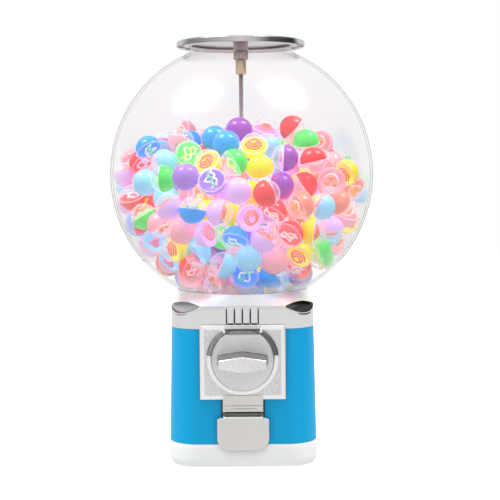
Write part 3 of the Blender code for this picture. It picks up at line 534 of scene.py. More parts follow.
def collar():
    """Chrome casting: upright walls, a domed shoulder up to a round rim, a scoop in each corner's edge."""
    half, corner, edge_z, rim_z = COLLAR_HALF, CORNER, COLLAR_EDGE_Z, 203.6
    bends = [math.sin(2 * turn) for _, _, _, turn in SPOTS]

    def wall(inset, below):
        return square_ring(half - inset, corner, lambda bend: edge_z - COLLAR_DIP * bend - below)

    def inward(ring, by):
        """The ring moved in towards the centre, by so much at each corner."""
        out = []
        for (x, y, _), bend in zip(ring, bends):
            shrink = 1 - by * bend / math.hypot(x, y)
            out.append((x * shrink, y * shrink, 0))
        return out

    rings = [square_ring(half, corner, z) for z in (COLLAR_FOOT_Z, 166.2, 172)]
    rings += [wall(0, 6), wall(0, 3), wall(0.03, 1.6), wall(0.12, 0.9), wall(0.32, 0.35), wall(0.6, 0.05)]
    edge = wall(0.9, 0)
    cove_start = len(rings)
    crease = inward(square_ring(half - 1.0, corner, 0), COLLAR_SCOOP)
    for share in (0.0, 0.12, 0.26, 0.42, 0.58, 0.72, 0.84, 0.93, 1.0):
        heights = []
        for bend in bends:
            low, high = edge_z - COLLAR_DIP * bend, edge_z + 0.9 + 4 * bend
            heights.append(low + (high - low) * (share**2.2 if bend > 0 else share))
        rings.append(between(edge, crease, share, heights))
    cove_end = len(rings)
    rim = round_ring(80.6, 0)
    starts = [edge_z + 0.9 + 4 * bend for bend in bends]
    for share in (0.04, 0.1, 0.2, 0.32, 0.46, 0.6, 0.74, 0.87, 0.95, 1.0):
        rise = share + 0.09 * math.sin(math.pi * share)
        rings.append(between(crease, rim, share, [low + (rim_z - low) * rise for low in starts]))
    lip = [(80.5, 204.3), (80.2, 204.8), (79.7, 205.1), (79.1, 205.1), (78.8, 204.8), (79.2, 202)]
    seat = [(79.2, SEAT_Z), (66.2, SEAT_Z), (66.2, SEAT_Z - 3), (74.5, SEAT_Z - 4)]
    rings += [round_ring(radius, z) for radius, z in lip + seat]
    rings.append(square_ring(half - 2.9, corner - 2.5, lambda bend: edge_z - 3.5 - COLLAR_DIP * bend))
    rings.append(square_ring(half - 2.5, corner - 2.5, COLLAR_FOOT_Z))

    # Painted light on the one chrome casting: the shoulder, rim and seat take the painted sheen, the corner
    # scoops a painted reflection, and a thin band along each scoop's lower edge painted shade.
    def finish(band, column):
        if band >= cove_end - 1:
            return 1
        if band < cove_start - 1 or bends[column] < 0.05:
            return 0
        return 3 if band < cove_start + 1 else 2

    finishes = [CHROME, CHROME_PAINTED_SHEEN, CHROME_SCOOP, SHADE_BLACK]
    body = smooth(loft("collar_casting", rings, finishes, slots=finish), 28)
    ribs = []
    for i in range(4):
        x = (i - 1.5) * RIB_PITCH
        outline = [(x - 3.4, 170.4), (x + 3.4, 170.4), (x + 4.1, 189.3), (x + 2.5, 192.4), (x - 2.5, 192.4)]
        outline += [(x - 4.1, 189.3)]
        outline = fillet(outline, [0.8, 0.8, 1.5, 1.2, 1.2, 1.5], 3)
        rib = extrude(f"rib_{i}", outline, -87.55, -83.5, [CHROME])
        ribs.append(smooth(soften(rib, 0.9, 3, 50), 30))
        # Painted shadow: a near-black strip below each rib.
        foot = box(f"rib_shadow_{i}", (x - 3.2, -87.8, 170.4), (x + 3.2, -87, 172.3), [SHADE_BLACK], 0.1)
        ribs.append(foot)
    # Painted shade: near-black strips on the wall between the ribs.
    for i in range(5):
        x = (i - 2) * RIB_PITCH
        ribs.append(box(f"rib_gap_shade_{i}", (x - 0.8, -85.25, 171), (x + 0.8, -84.5, 189), [SHADE_BLACK], 0.1))
    place(joined("collar_piece", body, *ribs), "cabinet", "chrome", "collar")


def body_panel():
    """Painted wrap, with openings for the mechanism and for the chute."""
    foot, top, skin = BODY_FOOT_Z, BODY_TOP_Z, 1.2
    heights = [foot, foot + 0.5, *np.linspace(foot + 8, top - 8, 9), top - 0.5, top]

    def outer(z, inset=0.0):
        share = (z - foot) / (top - foot)
        half = BODY_FOOT_HALF + (BODY_TOP_HALF - BODY_FOOT_HALF) * share - inset
        return square_ring(half, CORNER - inset, z)

    rings = [outer(z, 0.4 if z in (foot, top) else 0.0) for z in heights]
    rings += [outer(z, skin) for z in reversed(heights)]
    shell = loft("body_panel", rings, [BLUE])
    notch = box("notch", (-42, -95, 91), (42, -75, 170))
    opening = fillet([(-22.5, 31.2), (22.5, 31.2), (22.5, 62.5), (-22.5, 62.5)], 2)
    mouth = extrude("mouth", opening, -95, -75, [])
    carve(shell, "DIFFERENCE", notch, mouth)
    place(smooth(shell, 30), "cabinet", "blue_paint", "body_shell")


def base_tray():
    """Moulded tray: rounded foot edges, a shallow pan with a boss for the rod, and recesses for the feet."""
    half, foot, top = TRAY_HALF, TRAY_FOOT_Z, TRAY_TOP_Z
    profile = [(7.4, 0), (6, 0.15), (4.4, 0.8), (2.9, 1.9), (1.7, 3.4), (0.8, 5.4), (0.3, 7.8), (0.05, 10.5)]
    rings = [square_ring(half - inset, CORNER - inset, foot + rise) for inset, rise in profile]
    rings += [square_ring(half, 35, z) for z in (16, 22, top - 0.9)]
    rings += [square_ring(half - 0.3, 34.7, top - 0.3), square_ring(half - 0.9, 34.1, top)]
    rings += [square_ring(half - 2.2, 32.8, top), square_ring(half - 2.5, 32.5, top - 0.4)]
    rings += [square_ring(half - 3, 32, 12), square_ring(half - 5, 30, 7), square_ring(half - 10, 25, 4.5)]
    tray = loft("base_tray", rings, [WHITE], closed=False)
    carve(tray, "UNION", cylinder("boss", (0, 0, 4), (0, 0, 12), 17))
    holes = [cylinder("recess", (0, 0, 0), (0, 0, 9), 13)]
    holes.append(cylinder("rod_hole", (0, 0, 0), (0, 0, 20), 3.25))
    for x in (-62, 62):
        holes += [cylinder("foot_hole", (x, y, 0), (x, y, 3.5), 9.5) for y in (-62, 62)]
    carve(tray, "DIFFERENCE", *holes)
    place(smooth(tray, 30), "cabinet", "white_plastic", "foot_tray")


def globe_arc(radius, opening, count):
    """The sphere's profile from its upper opening of this radius down to its lower one."""
    limit = math.asin(opening / radius)
    points = []
    for i in range(count + 1):
        angle = limit + (math.pi - 2 * limit) * i / count
        points.append((radius * math.sin(angle), GLOBE_Z + radius * math.cos(angle)))
    return points


def globe():
    """Blown globe with a neck at each end and a bead round the upper one."""
    out, foot, top = NECK_RADIUS, NECK_FOOT_Z, NECK_TOP_Z
    inner = out - GLOBE_WALL
    profile = [(out - 0.6, top), (out, 499.4), (out, 496.2)]
    profile += [(out + 0.5, 495.4), (out + 1, 494.4), (out + 1, 493.6), (out + 0.5, 492.7), (out, 492)]
    outside = globe_arc(GLOBE_RADIUS, out, 96)
    radii = [0, 1.2] + [0] * (len(outside) - 2) + [1.2, 0]
    profile += fillet([(out, 491.4), *outside, (out, 198)], radii, 3, False)
    profile += [(out, 184.9), (out - 0.5, foot), (inner, foot)]
    profile += [*reversed(globe_arc(GLOBE_RADIUS - GLOBE_WALL, inner, 96)), (inner, top)]
    shell = revolve("globe_shell", profile, [GLOBE_CLEAR], 192)
    place(smooth(shell, 40), "cabinet", "clear_plastic", "globe")


def gasket():
    foot = SEAT_Z + 0.3
    seal = fillet([(77.2, 203), (78.6, 201.8), (78.6, foot), (66.8, foot), (66.8, 198.2)], 0.6, 3)
    place(smooth(revolve("gasket_ring", seal, [SEAL], 128)), "cabinet", "seal_rubber", "globe_gasket")


# ---------------------------------------------------------------- face plate, handle and chute


def face_plate():
    """Cast plate with a sloped border, the ring round the handle, two arcs above it painted dark as shade,
    and the coin hood; the border and the ring's lower band carry a painted highlight.
    """
    half, foot, top = PLATE_HALF, PLATE_FOOT_Z, PLATE_TOP_Z

    def ring(inset, y, radius):
        outline = [(inset - half, foot + inset), (half - inset, foot + inset)]
        outline += [(half - inset, top - inset), (inset - half, top - inset)]
        return [(x, y, z) for x, z in fillet(outline, radius, 4)]

    rings = [ring(0, -86.9, 0.8), ring(0, -88.5, 0.8), ring(0.5, -89.0, 0.8), ring(5.2, -90.75, 0.5)]
    rings += [ring(5.8, -91.0, 0.5)]
    # The sloped border takes the painted highlight.
    casting = loft("face_casting", rings, [ZINC, ZINC_PAINTED_HIGHLIGHT], closed=False, slots=[0, 0, 1, 0])
    boss = fillet([(0, 95), (RING_RADIUS, 95), (RING_RADIUS, 88), (0, 88)], [0, 1.1, 0, 0], 5)
    ring_boss = revolve("ring_boss", boss, [ZINC], 160, axle=True)
    carve(ring_boss, "DIFFERENCE", box("ring_top", (-50, -99, 169.2), (50, -80, 180)))
    carve(casting, "UNION", ring_boss)
    stepped = [(0, 99), (36.4, 99), (36.4, 91.5), (12.6, 91.5), (12.6, 80), (0, 80)]
    knob_recess = revolve("knob_recess", stepped, [ZINC], 140, axle=True)
    outline = [(-19.0, 150), (19.0, 150), (20.6, 166.4), (-20.6, 166.4)]
    window = extrude("window", outline, -99, -91.6, [ZINC])
    slot = box("coin_slot", (-14, -93, 160.6), (14, -80, 165.8), [ZINC])
    holes = []
    for degrees in (0, 180, 250, 290):
        x, z = polar(37.2, degrees, (0, AXLE_Z))
        holes.append(cylinder("plate_hole", (x, -89.5, z), (x, -80, z), 1.7, [ZINC], 16))
    carve(casting, "DIFFERENCE", knob_recess, window, slot, *holes)
    smooth(casting, 30)
    extras = []
    dark_arc = [(36.5, 94.4), (36.7, 95), (37.6, 95.6), (39, 95.6), (41, 95.1), (42.1, 94)]
    dark_arc += [(42.3, 90.9), (41, 90.9)]
    plain = [(36.5, 94.4), (36.6, 95), (37.2, 95.3), (39, 95.3), (40.8, 95.1), (41.4, 94.4)]
    # Painted shade on the two upper arcs, darker on the right, and a painted highlight on the ring's lower
    # band.
    bands = [(dark_arc, ZINC_SHADE, 7.4, 48.2), (dark_arc, ZINC_PAINTED_MID_SHADE, 124.4, 48.2), (plain, ZINC_PAINTED_HIGHLIGHT, 173.5, 193)]
    for section, finish, start, sweep in bands:
        steps = int(sweep / 1.6)
        band = revolve("ring_band", section, [finish], steps, axle=True, start=start, sweep=sweep)
        extras.append(smooth(band, 60))
    # Painted shade: a near-black ring in the gap round the knob.
    gap = [(35.9, 92), (35.9, 94), (36.45, 94), (36.45, 92)]
    extras.append(revolve("ring_gap_shade", gap, [SHADE_BLACK], 140, axle=True))
    lip = [(-19.8, 166.6), (19.8, 166.6), (21.6, 169.3), (-21.6, 169.3)]
    extras.append(smooth(extrude("hood_lip", lip, -96.6, -90.5, [ZINC_SMOOTH], bevel=0.7)))
    # Painted shade in the hood's recess: dark under the lip, mid grey below.
    extras.append(box("hood_floor", (-20, -91.8, 163.6), (20, -91.2, 166.5), [ZINC_SHADE]))
    extras.append(box("hood_sill", (-20, -91.8, 160.4), (20, -91.2, 163.6), [ZINC_PAINTED_MID_SHADE]))
    # The hood's posts take the painted highlight.
    for side in (-1, 1):
        x = side * 21.6
        post = box("hood_post", (x - 1.6, -96.3, 162.2), (x + 1.6, -91.5, 167.4), [ZINC_PAINTED_HIGHLIGHT], 0.8)
        extras.append(smooth(post))
    place(joined("face_plate_piece", casting, *extras), "cabinet", "cast_zinc", "face_plate")


GRIP = [ZINC_ROUGH_PAINTED_SHADE, ZINC_PAINTED_HIGHLIGHT, SHADE_BLACK, ZINC_PAINTED_LIT_FACE]


def knob():
    """Round knob with a flat above the coin recess and a six-sided bar grip that narrows to its front."""
    half = math.degrees(math.acos(KNOB_FLAT / KNOB_RADIUS))
    outline = arc(KNOB_RADIUS, 90 + half, 450 - half, 120, (0, AXLE_Z))
    disc = smooth(extrude("knob_disc", outline, KNOB_FRONT_Y, KNOB_BACK_Y, [ZINC], bevel=0.8, segments=4), 30)
    top = AXLE_Z + KNOB_FLAT
    # Painted highlight: a near-white strip along the top of the flat.
    ledge = smooth(box("knob_ledge", (-18.6, -98.7, top - 1.1), (18.6, -97, top), [ZINC_PAINTED_HIGHLIGHT], 0.5))

    def hexagon(length, middle, end, y):
        corners = [(-length, -end), (0, -middle), (length, -end)]
        corners += [(length, end), (0, middle), (-length, end)]
        return [(x, y, AXLE_Z + z) for x, z in fillet(corners, [0.8, 2, 0.8, 0.8, 2, 0.8], 3)]

    sections = [(28.9, 10.5, 5.9, -97), (28.9, 10.5, 5.9, -98.9), (28.5, 10.1, 5.5, -99.1)]
    sections += [(27.9, 9.8, 5.3, -116), (27.2, 9.4, 5.0, -132.8), (27.0, 9.2, 4.8, -133.4)]
    sections += [(26.6, 8.8, 4.4, -133.8), (26.2, 8.4, 4.0, -134)]
    rings = [hexagon(*section) for section in sections]
    # Painted light on the grip: near-black root bands and dark long faces (painted shade), a near-white front
    # edge (painted highlight) and a lighter front face.
    grip = smooth(loft("grip", rings, GRIP, closed=False, slots=[2, 2, 0, 0, 1, 1, 3]), 30)
    boss = smooth(cylinder("knob_boss", (0, -94, AXLE_Z), (0, -87, AXLE_Z), 12, [ZINC]), 40)
    place(joined("handle_piece", disc, ledge, grip, boss), "handle_train", "cast_zinc", "handle")


def chute():
    """Stepped neck and mouth frame of the chute, and the flap hung on its pin."""
    frame_outline = fillet([(-23.5, 30), (23.5, 30), (23.5, 70), (-23.5, 70)], 1.5, 4)
    bezel = extrude("bezel", frame_outline, -90.2, -88, [ZINC_SMOOTH])
    opening = fillet([(-20, 32.8), (20, 32.8), (20, 69.2), (-20, 69.2)], 1, 3)
    mouth = extrude("bezel_mouth", opening, -99, -80, [])
    carve(bezel, "DIFFERENCE", mouth)
    steps = [(-88, 69.4), (-94.4, 69.4), (-94.4, 72.8), (-93.4, 72.8), (-93.4, 76.1), (-92.4, 76.1)]
    steps += [(-92.1, 88.1), (-91.2, 88.3), (-91.2, 82.4), (-88, 82.4)]
    neck = extrude("bezel_neck", steps, -23.6, 23.6, [ZINC_SMOOTH], "X", bevel=0.15, segments=2)
    cheeks = [
        # Painted shade: dark lines along the neck's steps.
        box("neck_line_low", (-23.2, -94.48, 72.5), (23.2, -94.2, 72.9), [ZINC_SHADE]),
        box("neck_line_high", (-23.2, -93.48, 75.9), (23.2, -93.2, 76.3), [ZINC_SHADE]),
        box("neck_shadow", (-25.6, -87.3, 62.4), (25.6, -86.2, 82.6), [SHADE_BLACK]),
        box("hinge_shadow", (-23.4, -88.9, 62.8), (23.4, -88.3, 69.4), [SHADE_BLACK]),
    ]
    for side in (-1, 1):
        low, high = sorted((side * 19.3, side * 23.5))
        # Painted shade: near-black blocks and dark knuckles beside the pin, in the recess under the neck.
        cheeks.append(box("cheek", (low, HINGE_Y, 64.4), (high, -88.5, 67.6), [SHADE_BLACK]))
        ends = (low, HINGE_Y, HINGE_Z), (high, HINGE_Y, HINGE_Z)
        knuckle = cylinder("knuckle", *ends, 2.2, [ZINC_SHADE], 32)
        cheeks.append(smooth(soften(knuckle, 0.2, 2, 60), 40))
    piece = joined("chute_bezel_piece", smooth(bezel), smooth(neck), *cheeks)
    place(piece, "cabinet", "cast_zinc", "chute_bezel")
    r, left, foot, right, top, cut = 14.4, -30.4, 23.2, 30.4, 61.8, 1.6
    outline = arc(r, 180, 270, 20, (left + r, foot + r)) + arc(r, 270, 360, 20, (right - r, foot + r))
    outline += [(right, top - cut), (right - cut, top - cut), (right - cut - 1.2, top)]
    outline += [(left + cut + 1.2, top), (left + cut, top - cut), (left, top - cut)]
    flap = smooth(extrude("flap", outline, -93.4, -90.6, [ZINC_SMOOTH], bevel=0.7, segments=4), 30)
    crown = [(-23.3, 61), (23.3, 61), (23.3, 61.9), (22.6, 63.2), (-22.6, 63.2), (-23.3, 61.9)]
    # Painted light on the flap's top: a near-white web (painted highlight) under a dark tab and barrel
    # (painted shade).
    web = smooth(extrude("flap_web", crown, -93.3, -90.9, [ZINC_PAINTED_HIGHLIGHT], bevel=0.4), 40)
    tab = box("flap_tab", (-17, -92.2, 62), (17, -91.2, 64.4), [ZINC_SHADE])
    barrel = cylinder("barrel", (-19.0, HINGE_Y, HINGE_Z), (19.0, HINGE_Y, HINGE_Z), 2.2, [ZINC_SHADE], 32)
    carve(barrel, "DIFFERENCE", cylinder("bore", (-30, HINGE_Y, HINGE_Z), (30, HINGE_Y, HINGE_Z), 1.6))
    place(joined("chute_door_piece", flap, web, tab, smooth(barrel)), "door", "cast_zinc", "chute_door")


# ---------------------------------------------------------------- lid


def lid():
    """Pressed disc with a raised rim, rolled into a bead at its foot."""
    hole = 9.3
    profile = [(hole, 506.2), (20, 505.9), (45, 505.0), (66, 504.2), (70, 504.1), (71.6, 504.5)]
    profile += [(73, 505.3), (74.6, 505.8), (76.2, 505.9), (77.2, 505.4), (77.7, 504.5), (77.7, 501.3)]
    profile += [(77.85, 500.9), (78.1, 500.2), (77.9, 499.4), (77.3, 499), (76.6, 499.1), (76.3, 499.6)]
    profile += [(76.4, 503.6), (73.4, 503.9), (71, 502.8), (66, 502.7), (24, 504.1), (hole, 504.5)]

    def finish(_, column):
        return 1 if profile[column][0] > 77 or profile[(column + 1) % len(profile)][0] > 77 else 0

    plate = revolve("lid_plate", profile, [LID_STEEL, LID_RIM], 192, slots=finish)
    place(smooth(plate, 40), "lid_assembly", "lid_steel", "lid")


# ---------------------------------------------------------------- capsules


CAPSULE = 15.6  # radius of a capsule's shell
RIM = 16.0  # radius over its rim
COUNT = 372


def settle(count):
    """Centres of capsules heaped in the globe round the rod: they sink, and overlaps are pushed apart."""
    rng = np.random.default_rng(11)
    reach = GLOBE_RADIUS - GLOBE_WALL - RIM - 0.3
    points = []
    while len(points) < count:
        p = rng.uniform(-reach, reach, 3)
        if np.linalg.norm(p) < reach and math.hypot(p[0], p[1]) > 20 and p[2] < 75:
            points.append(p)
    p = np.array(points)
    peak = np.array([14.0, -10.0])  # where the heap is highest, from the rod
    rounds, still = 900, 120  # the last rounds only push apart
    for step in range(rounds):
        if step % 8 == 0:
            gap = np.linalg.norm(p[:, None] - p[None], axis=2)
            first, second = np.nonzero(np.triu(gap < 2 * RIM + 9, 1))
        sink = 0.5 * max(0.0, 1 - step / (rounds - still))
        p[:, 2] -= sink
        p[:, :2] -= sink * 0.0034 * (p[:, :2] - peak)
        for _ in range(2):
            way = p[first] - p[second]
            size = np.linalg.norm(way, axis=1) + 1e-9
            push = np.clip(2 * RIM - size, 0, None)[:, None] * way / size[:, None] * 0.35
            for k in range(3):
                p[:, k] += np.bincount(first, push[:, k], count) - np.bincount(second, push[:, k], count)
            size = np.linalg.norm(p, axis=1)
            p *= np.minimum(1, reach / size)[:, None]
            flat = np.linalg.norm(p[:, :2], axis=1)
            p[:, :2] *= np.maximum(1, (RIM + 3.0) / np.maximum(flat, 1e-6))[:, None]
            p[:, 2] = np.maximum(p[:, 2], 205.5 - GLOBE_Z)
    return p + np.array([0, 0, GLOBE_Z])


def turned_grid(profile, steps):
    """Points and quads of an open (radius, height) profile turned about z."""
    angles = np.arange(steps) * 2 * math.pi / steps
    points = [(r * math.cos(a), r * math.sin(a), z) for r, z in profile for a in angles]
    faces = []
    for row in range(len(profile) - 1):
        for i in range(steps):
            j = (i + 1) % steps
            faces.append((row * steps + i, row * steps + j, (row + 1) * steps + j, (row + 1) * steps + i))
    return points, faces


def tube(path, radius):
    """Points and quads of a thin tube along a path."""
    sides = 5
    path = np.array(path, float)
    way = np.gradient(path, axis=0)
    way /= np.linalg.norm(way, axis=1)[:, None]
    up = np.where(np.abs(way[:, 2:]) < 0.9, np.array([[0.0, 0, 1]]), np.array([[1.0, 0, 0]]))
    a = np.cross(way, up)
    a /= np.linalg.norm(a, axis=1)[:, None]
    b = np.cross(way, a)
    angles = np.arange(sides) * 2 * math.pi / sides
    spokes = [(math.cos(t), math.sin(t)) for t in angles]
    points = [tuple(c + radius * (s * u + k * v)) for c, u, v in zip(path, a, b) for s, k in spokes]
    faces = []
    for row in range(len(path) - 1):
        for i in range(sides):
            j = (i + 1) % sides
            faces.append((row * sides + i, row * sides + j, (row + 1) * sides + j, (row + 1) * sides + i))
    faces.append(tuple(range(sides)))
    faces.append(tuple((len(path) - 1) * sides + i for i in range(sides)))
    return points, faces


def toy(kind):
    """A small prize as (points, faces, material slot) lists, lying on the coloured cup's opening."""
    if kind == 0:  # crinkled strands
        t = np.linspace(0, 1, 16)
        parts = []
        for k, slot in ((0, 3), (1, 4), (2, 3)):
            across = 20 * t - 10
            along = (4 - 1.3 * k) * np.sin(2 * math.pi * (1.3 + 0.5 * k) * t + 2 * k) + 4 * k - 4
            strand = np.stack([across, along, -2.5 - k + 1.2 * np.cos(9 * t)], axis=1)
            strand[:, :2] *= np.minimum(1, 12 / np.hypot(strand[:, 0], strand[:, 1]))[:, None]
            parts.append((*tube(strand, 1.2), slot))
        return parts
    if kind == 1:  # heart token
        t = np.linspace(0, 2 * math.pi, 22)[:-1]
        x = 0.46 * 16 * np.sin(t) ** 3
        y = 0.46 * (13 * np.cos(t) - 5 * np.cos(2 * t) - 2 * np.cos(3 * t) - np.cos(4 * t))
        low = [(a, b, -3.5) for a, b in zip(x, y)]
        high = [(a * 0.85, b * 0.85, -6.0) for a, b in zip(x, y)]
        n = len(low)
        faces = [(i, (i + 1) % n, n + (i + 1) % n, n + i) for i in range(n)]
        faces += [tuple(range(n)), tuple(range(n, 2 * n))]
        return [(low + high, faces, 4)]
    if kind == 2:  # beads on a ring
        t = np.linspace(0, 2 * math.pi, 20)
        band = np.stack([8.2 * np.cos(t), 8.2 * np.sin(t), -4 + 1.5 * np.sin(3 * t)], axis=1)
        parts = [(*tube(band, 1.2), 3)]
        for k in range(3):
            arcs = [(3.2 * math.sin(a), 3.2 * math.cos(a)) for a in np.linspace(0.05, math.pi - 0.05, 6)]
            points, faces = turned_grid(arcs, 8)
            x, y = polar(5.0, 120 * k + 20)
            parts.append(([(px + x, py + y, pz - 5.5) for px, py, pz in points], faces, 4))
        return parts
    t = np.linspace(0, 5 * math.pi, 34)  # loose coil
    coil = np.stack([(4 + 0.35 * t) * np.cos(t), (4 + 0.35 * t) * np.sin(t), -7 + 0.3 * t], axis=1)
    return [(*tube(coil, 1.1), 4)]


def capsule_parts(kind):
    """One capsule, its coloured cup up and its clear cup down. Slots: colour, clear, rim, toy, toy accent."""
    angles = np.linspace(0.0, math.pi / 2, 9)
    outer = [(CAPSULE * math.sin(a) + 1e-4, CAPSULE * math.cos(a)) for a in angles]
    outer += [(CAPSULE, -0.7), (CAPSULE - 1.1, -0.7)]
    inside = 14.4
    inner = [(inside * math.cos(a), inside * math.sin(a)) for a in np.linspace(0.0, math.pi / 2, 7)[:-1]]
    inner.append((1e-4, inside))
    parts = [(*turned_grid(outer + inner, 28), 0)]
    below = [(CAPSULE - 0.15, -1.9)]
    for a in np.linspace(math.radians(7), math.pi / 2, 8)[1:]:
        below.append(((CAPSULE - 0.15) * math.cos(a) + 1e-4, -(CAPSULE - 0.15) * math.sin(a)))
    parts.append((*turned_grid(below, 28), 1))
    ridge = [(CAPSULE - 0.2, -0.5), (RIM, -0.7), (RIM, -1.5), (CAPSULE - 0.15, -1.9), (CAPSULE - 0.9, -1.9)]
    parts.append((*turned_grid(ridge, 28), 2))
    return parts + toy(kind)


def capsule_colours():
    """For each kind of capsule: name, cup colour, toy colour, accent colour, share of the heap and toy."""
    white, green, pink = (255, 255, 255), (110, 235, 150), (250, 130, 190)
    return [
        ("yellow", (255, 232, 64), (255, 215, 205), (250, 120, 110), 0.12, 3),
        ("pink", (255, 176, 190), (255, 240, 240), (255, 170, 110), 0.17, 2),
        ("lavender", (232, 190, 250), (255, 245, 255), (255, 150, 120), 0.14, 3),
        ("red", (250, 84, 88), (255, 235, 235), white, 0.10, 0),
        ("blue", (64, 164, 250), white, green, 0.09, 0),
        ("purple", (176, 134, 224), white, (130, 225, 180), 0.11, 0),
        ("light_blue", (162, 220, 255), white, pink, 0.13, 1),
        ("green", (98, 236, 110), (250, 255, 235), (240, 245, 80), 0.09, 0),
        ("coral", (255, 150, 132), (255, 235, 225), (255, 185, 80), 0.07, 2),
        ("violet", (164, 84, 190), (245, 225, 255), pink, 0.03, 1),
    ]


def capsule_finish(name, colour):
    """Moulded plastic whose colour drifts a little from pole to seam, with painted shade at its rim and a
    faint painted glow of its own colour.
    """
    # Painted glow: the plastic emits a little of its own colour to lift its shaded side.
    glow = {"Emission_Color": (*colour, 1), "Emission_Strength": 0.16}
    plastic = surface(name, colour, 0.22, 0.0, spread=0.05, blotch=45, **glow)
    # Painted shade: the colour darkens towards the rim, where the surface turns from the eye.
    return let_light_in(edged(plastic, 1.0, 0.72, "Base Color"), 0.95)


def capsules():
    centres = settle(COUNT)
    rng = np.random.default_rng(5)
    kinds = capsule_colours()
    weights = np.array([k[4] for k in kinds])
    picks = rng.choice(len(kinds), COUNT, p=weights / weights.sum())
    rim = let_light_in(surface("capsule_rim", (0.88, 0.84, 0.92), 0.2, 0.0, spread=0.03, Alpha=0.45), 0.9)
    for index, (name, colour, toy_colour, accent, _, kind) in enumerate(kinds):
        base = capsule_parts(kind)
        points, faces, slots = [], [], []
        for centre in centres[picks == index]:
            way = Vector(rng.normal(size=3)).normalized()
            turn = way.to_track_quat("Z", "Y").to_matrix() @ Matrix.Rotation(rng.uniform(0, 6.28), 3, "Z")
            turn = np.array(turn)
            for part, part_faces, slot in base:
                start = len(points)
                points += [tuple(q) for q in np.array(part) @ turn.T + centre]
                faces += [tuple(start + i for i in face) for face in part_faces]
                slots += [slot] * len(part_faces)
        materials = [
            capsule_finish(f"capsule_{name}", linear(*colour)),
            CAPSULE_CLEAR,
            rim,
            let_light_in(surface(f"toy_{name}", linear(*toy_colour), 0.4), 0.9),
            let_light_in(surface(f"toy_accent_{name}", linear(*accent), 0.4), 0.9),
        ]
        mesh = bpy.data.meshes.new(f"capsules_{name}")
        mesh.from_pydata([tuple(c * MM for c in p) for p in points], [], faces)
        for material in materials:
            mesh.materials.append(material)
        mesh.polygons.foreach_set("material_index", slots)
        obj = bpy.data.objects.new(f"capsules_{name}", mesh)
        bpy.context.scene.collection.objects.link(obj)
        place(smooth(obj, 50), "cabinet", "capsules", "capsule_load")


# ---------------------------------------------------------------- carried-over CAD nodes


def dress(names, material):
    """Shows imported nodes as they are, smooth between their sharp edges."""
    for name in names:
        obj = nodes[name]
        obj.data.materials.clear()
        obj.data.materials.append(material)
        weld = obj.modifiers.new("weld", "WELD")
        weld.merge_threshold = 0.00001
        obj.data.polygons.foreach_set("use_smooth", [True] * len(obj.data.polygons))
        obj.data.set_sharp_from_angle(angle=math.radians(40))


def carried():
    steel = ["rod_washer", "rod_nut", "handle_shaft", "ratchet_wheel", "ratchet_pawl", "coin_pawl"]
    steel += ["ratchet_pin", "coin_pin", "ratchet_spring", "coin_spring", "mechanism_housing", "shaft_nut"]
    steel += ["capsule_guard", "agitator", "door_pin", "lock_plug"]
    steel += [f"housing_screw_{i}" for i in (1, 2, 3, 4)] + ["guard_screw_1", "guard_screw_2"]
    dress(steel, STEEL)
    dress(["centre_rod"], ROD_STEEL)
    dress(["lock_housing"], LOCK_ZINC)
    dress(["coin_carrier"], ZINC)
    dress(["rod_coupler", "pinion_spacer"], BRASS)
    dress(["lock_hex"], BRONZE)
    dress(["wheel_pan", "capsule_wheel", "drop_chute", "drive_pinion"], MOULDED)
    dress(["lid_seal"], SEAL)
    dress([f"foot_{i}" for i in (1, 2, 3, 4)], RUBBER)


# ---------------------------------------------------------------- studio


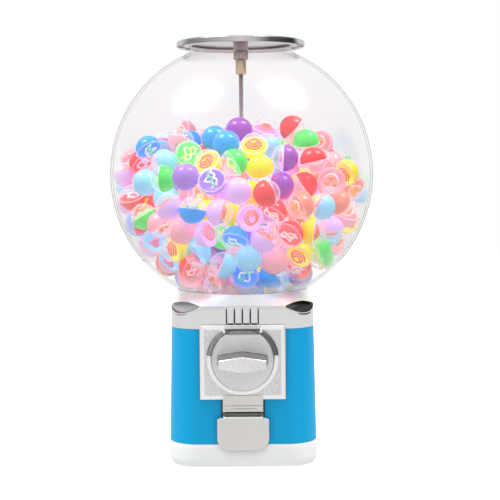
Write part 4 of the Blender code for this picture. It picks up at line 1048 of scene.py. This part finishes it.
def studio():
    scene = bpy.context.scene
    scene.view_settings.view_transform = "Standard"
    scene.cycles.transparent_max_bounces = 32
    scene.cycles.max_bounces = 12
    scene.cycles.diffuse_bounces = 5
    scene.cycles.glossy_bounces = 4
    scene.cycles.caustics_reflective = False
    world = bpy.data.worlds.new("studio")
    world.use_nodes = True
    scene.world = world
    tree = world.node_tree
    tree.nodes.clear()
    way = node(tree, "TexCoord").outputs["Generated"]
    split = node(tree, "SeparateXYZ", {"Vector": way})
    x, y, z = split.outputs
    front = mapped(tree, y, -1.0, 0.4, 0.74, 1.0)
    rise = mapped(tree, z, 0.0, 0.9, 1.0, 1.15)
    level = maths(tree, "MULTIPLY", front, rise)
    above = maths(tree, "MULTIPLY", mapped(tree, z, -0.16, -0.13), mapped(tree, z, 0.45, 0.34))
    right = maths(tree, "MULTIPLY", mapped(tree, x, 0.78, 0.9, 0.0, 0.96), above)
    left = maths(tree, "MULTIPLY", mapped(tree, x, -0.78, -0.92, 0.0, 0.57), above)
    level = maths(tree, "MULTIPLY", level, maths(tree, "SUBTRACT", 1.0, maths(tree, "ADD", left, right)))
    seen = node(tree, "LightPath").outputs["Is Camera Ray"]
    around = node(tree, "Background", {"Color": (1, 1, 1, 1), "Strength": level})
    behind = node(tree, "Background", {"Color": (1, 1, 1, 1), "Strength": 1.0})
    mixed = node(tree, "MixShader", {0: seen, 1: around.outputs[0], 2: behind.outputs[0]})
    out = node(tree, "OutputWorld")
    tree.links.new(mixed.outputs[0], out.inputs["Surface"])

    far = 3000
    corners = [(-far, -far, 0), (far, -far, 0), (far, far, 0), (-far, far, 0)]
    floor = made_mesh("floor", corners, [(0, 1, 2, 3)], [])
    paper = bpy.data.materials.new("floor_paper")
    paper.use_nodes = True
    tree = paper.node_tree
    tree.nodes.clear()
    seen = node(tree, "LightPath").outputs["Is Camera Ray"]
    lit = node(tree, "BsdfDiffuse", {"Color": (0.98, 0.98, 0.98, 1)})
    glow = node(tree, "Emission", {"Color": (1, 1, 1, 1), "Strength": 0.35})
    bright = node(tree, "AddShader", {0: lit.outputs[0], 1: glow.outputs[0]})
    dim = node(tree, "Emission", {"Color": (1, 1, 1, 1), "Strength": 0.85})
    mixed = node(tree, "MixShader", {0: seen, 1: dim.outputs[0], 2: bright.outputs[0]})
    out = node(tree, "OutputMaterial")
    tree.links.new(mixed.outputs[0], out.inputs["Surface"])
    floor.data.materials.append(paper)

    target = Vector((0, 0, GLOBE_Z * MM))
    softboxes = [("left", (-0.48, -0.14, 0.86), 40, -42), ("right", (0.47, -0.12, 0.87), 36, 42)]
    for name, way, power, turn in softboxes:
        light = bpy.data.lights.new(f"softbox_{name}", "AREA")
        light.shape = "RECTANGLE"
        light.size, light.size_y = 1.1, 0.82
        light.energy = power
        lamp = bpy.data.objects.new(f"softbox_{name}", light)
        scene.collection.objects.link(lamp)
        way = Vector(way).normalized()
        lamp.location = target + way * 2.4
        up = (Vector((0, 1, 0)) - way * way.y).normalized()
        facing = Matrix((up.cross(way), up, way)).transposed()
        lamp.rotation_euler = (facing @ Matrix.Rotation(math.radians(turn), 3, "Z")).to_euler()
        lamp.visible_camera = False

    camera = bpy.data.objects.new("camera", bpy.data.cameras.new("camera"))
    scene.collection.objects.link(camera)
    camera.location = (0.0095, -1.5, 0.3561)
    tilt = Matrix.Rotation(math.radians(90 - 3.982), 3, "X")
    camera.rotation_euler = (tilt @ Matrix.Rotation(math.radians(-0.42), 3, "Z")).to_euler()
    camera.data.lens = 87.92
    camera.data.sensor_width = 36
    scene.camera = camera


studio()
collar()
body_panel()
base_tray()
globe()
gasket()
face_plate()
knob()
chute()
lid()
capsules()
carried()
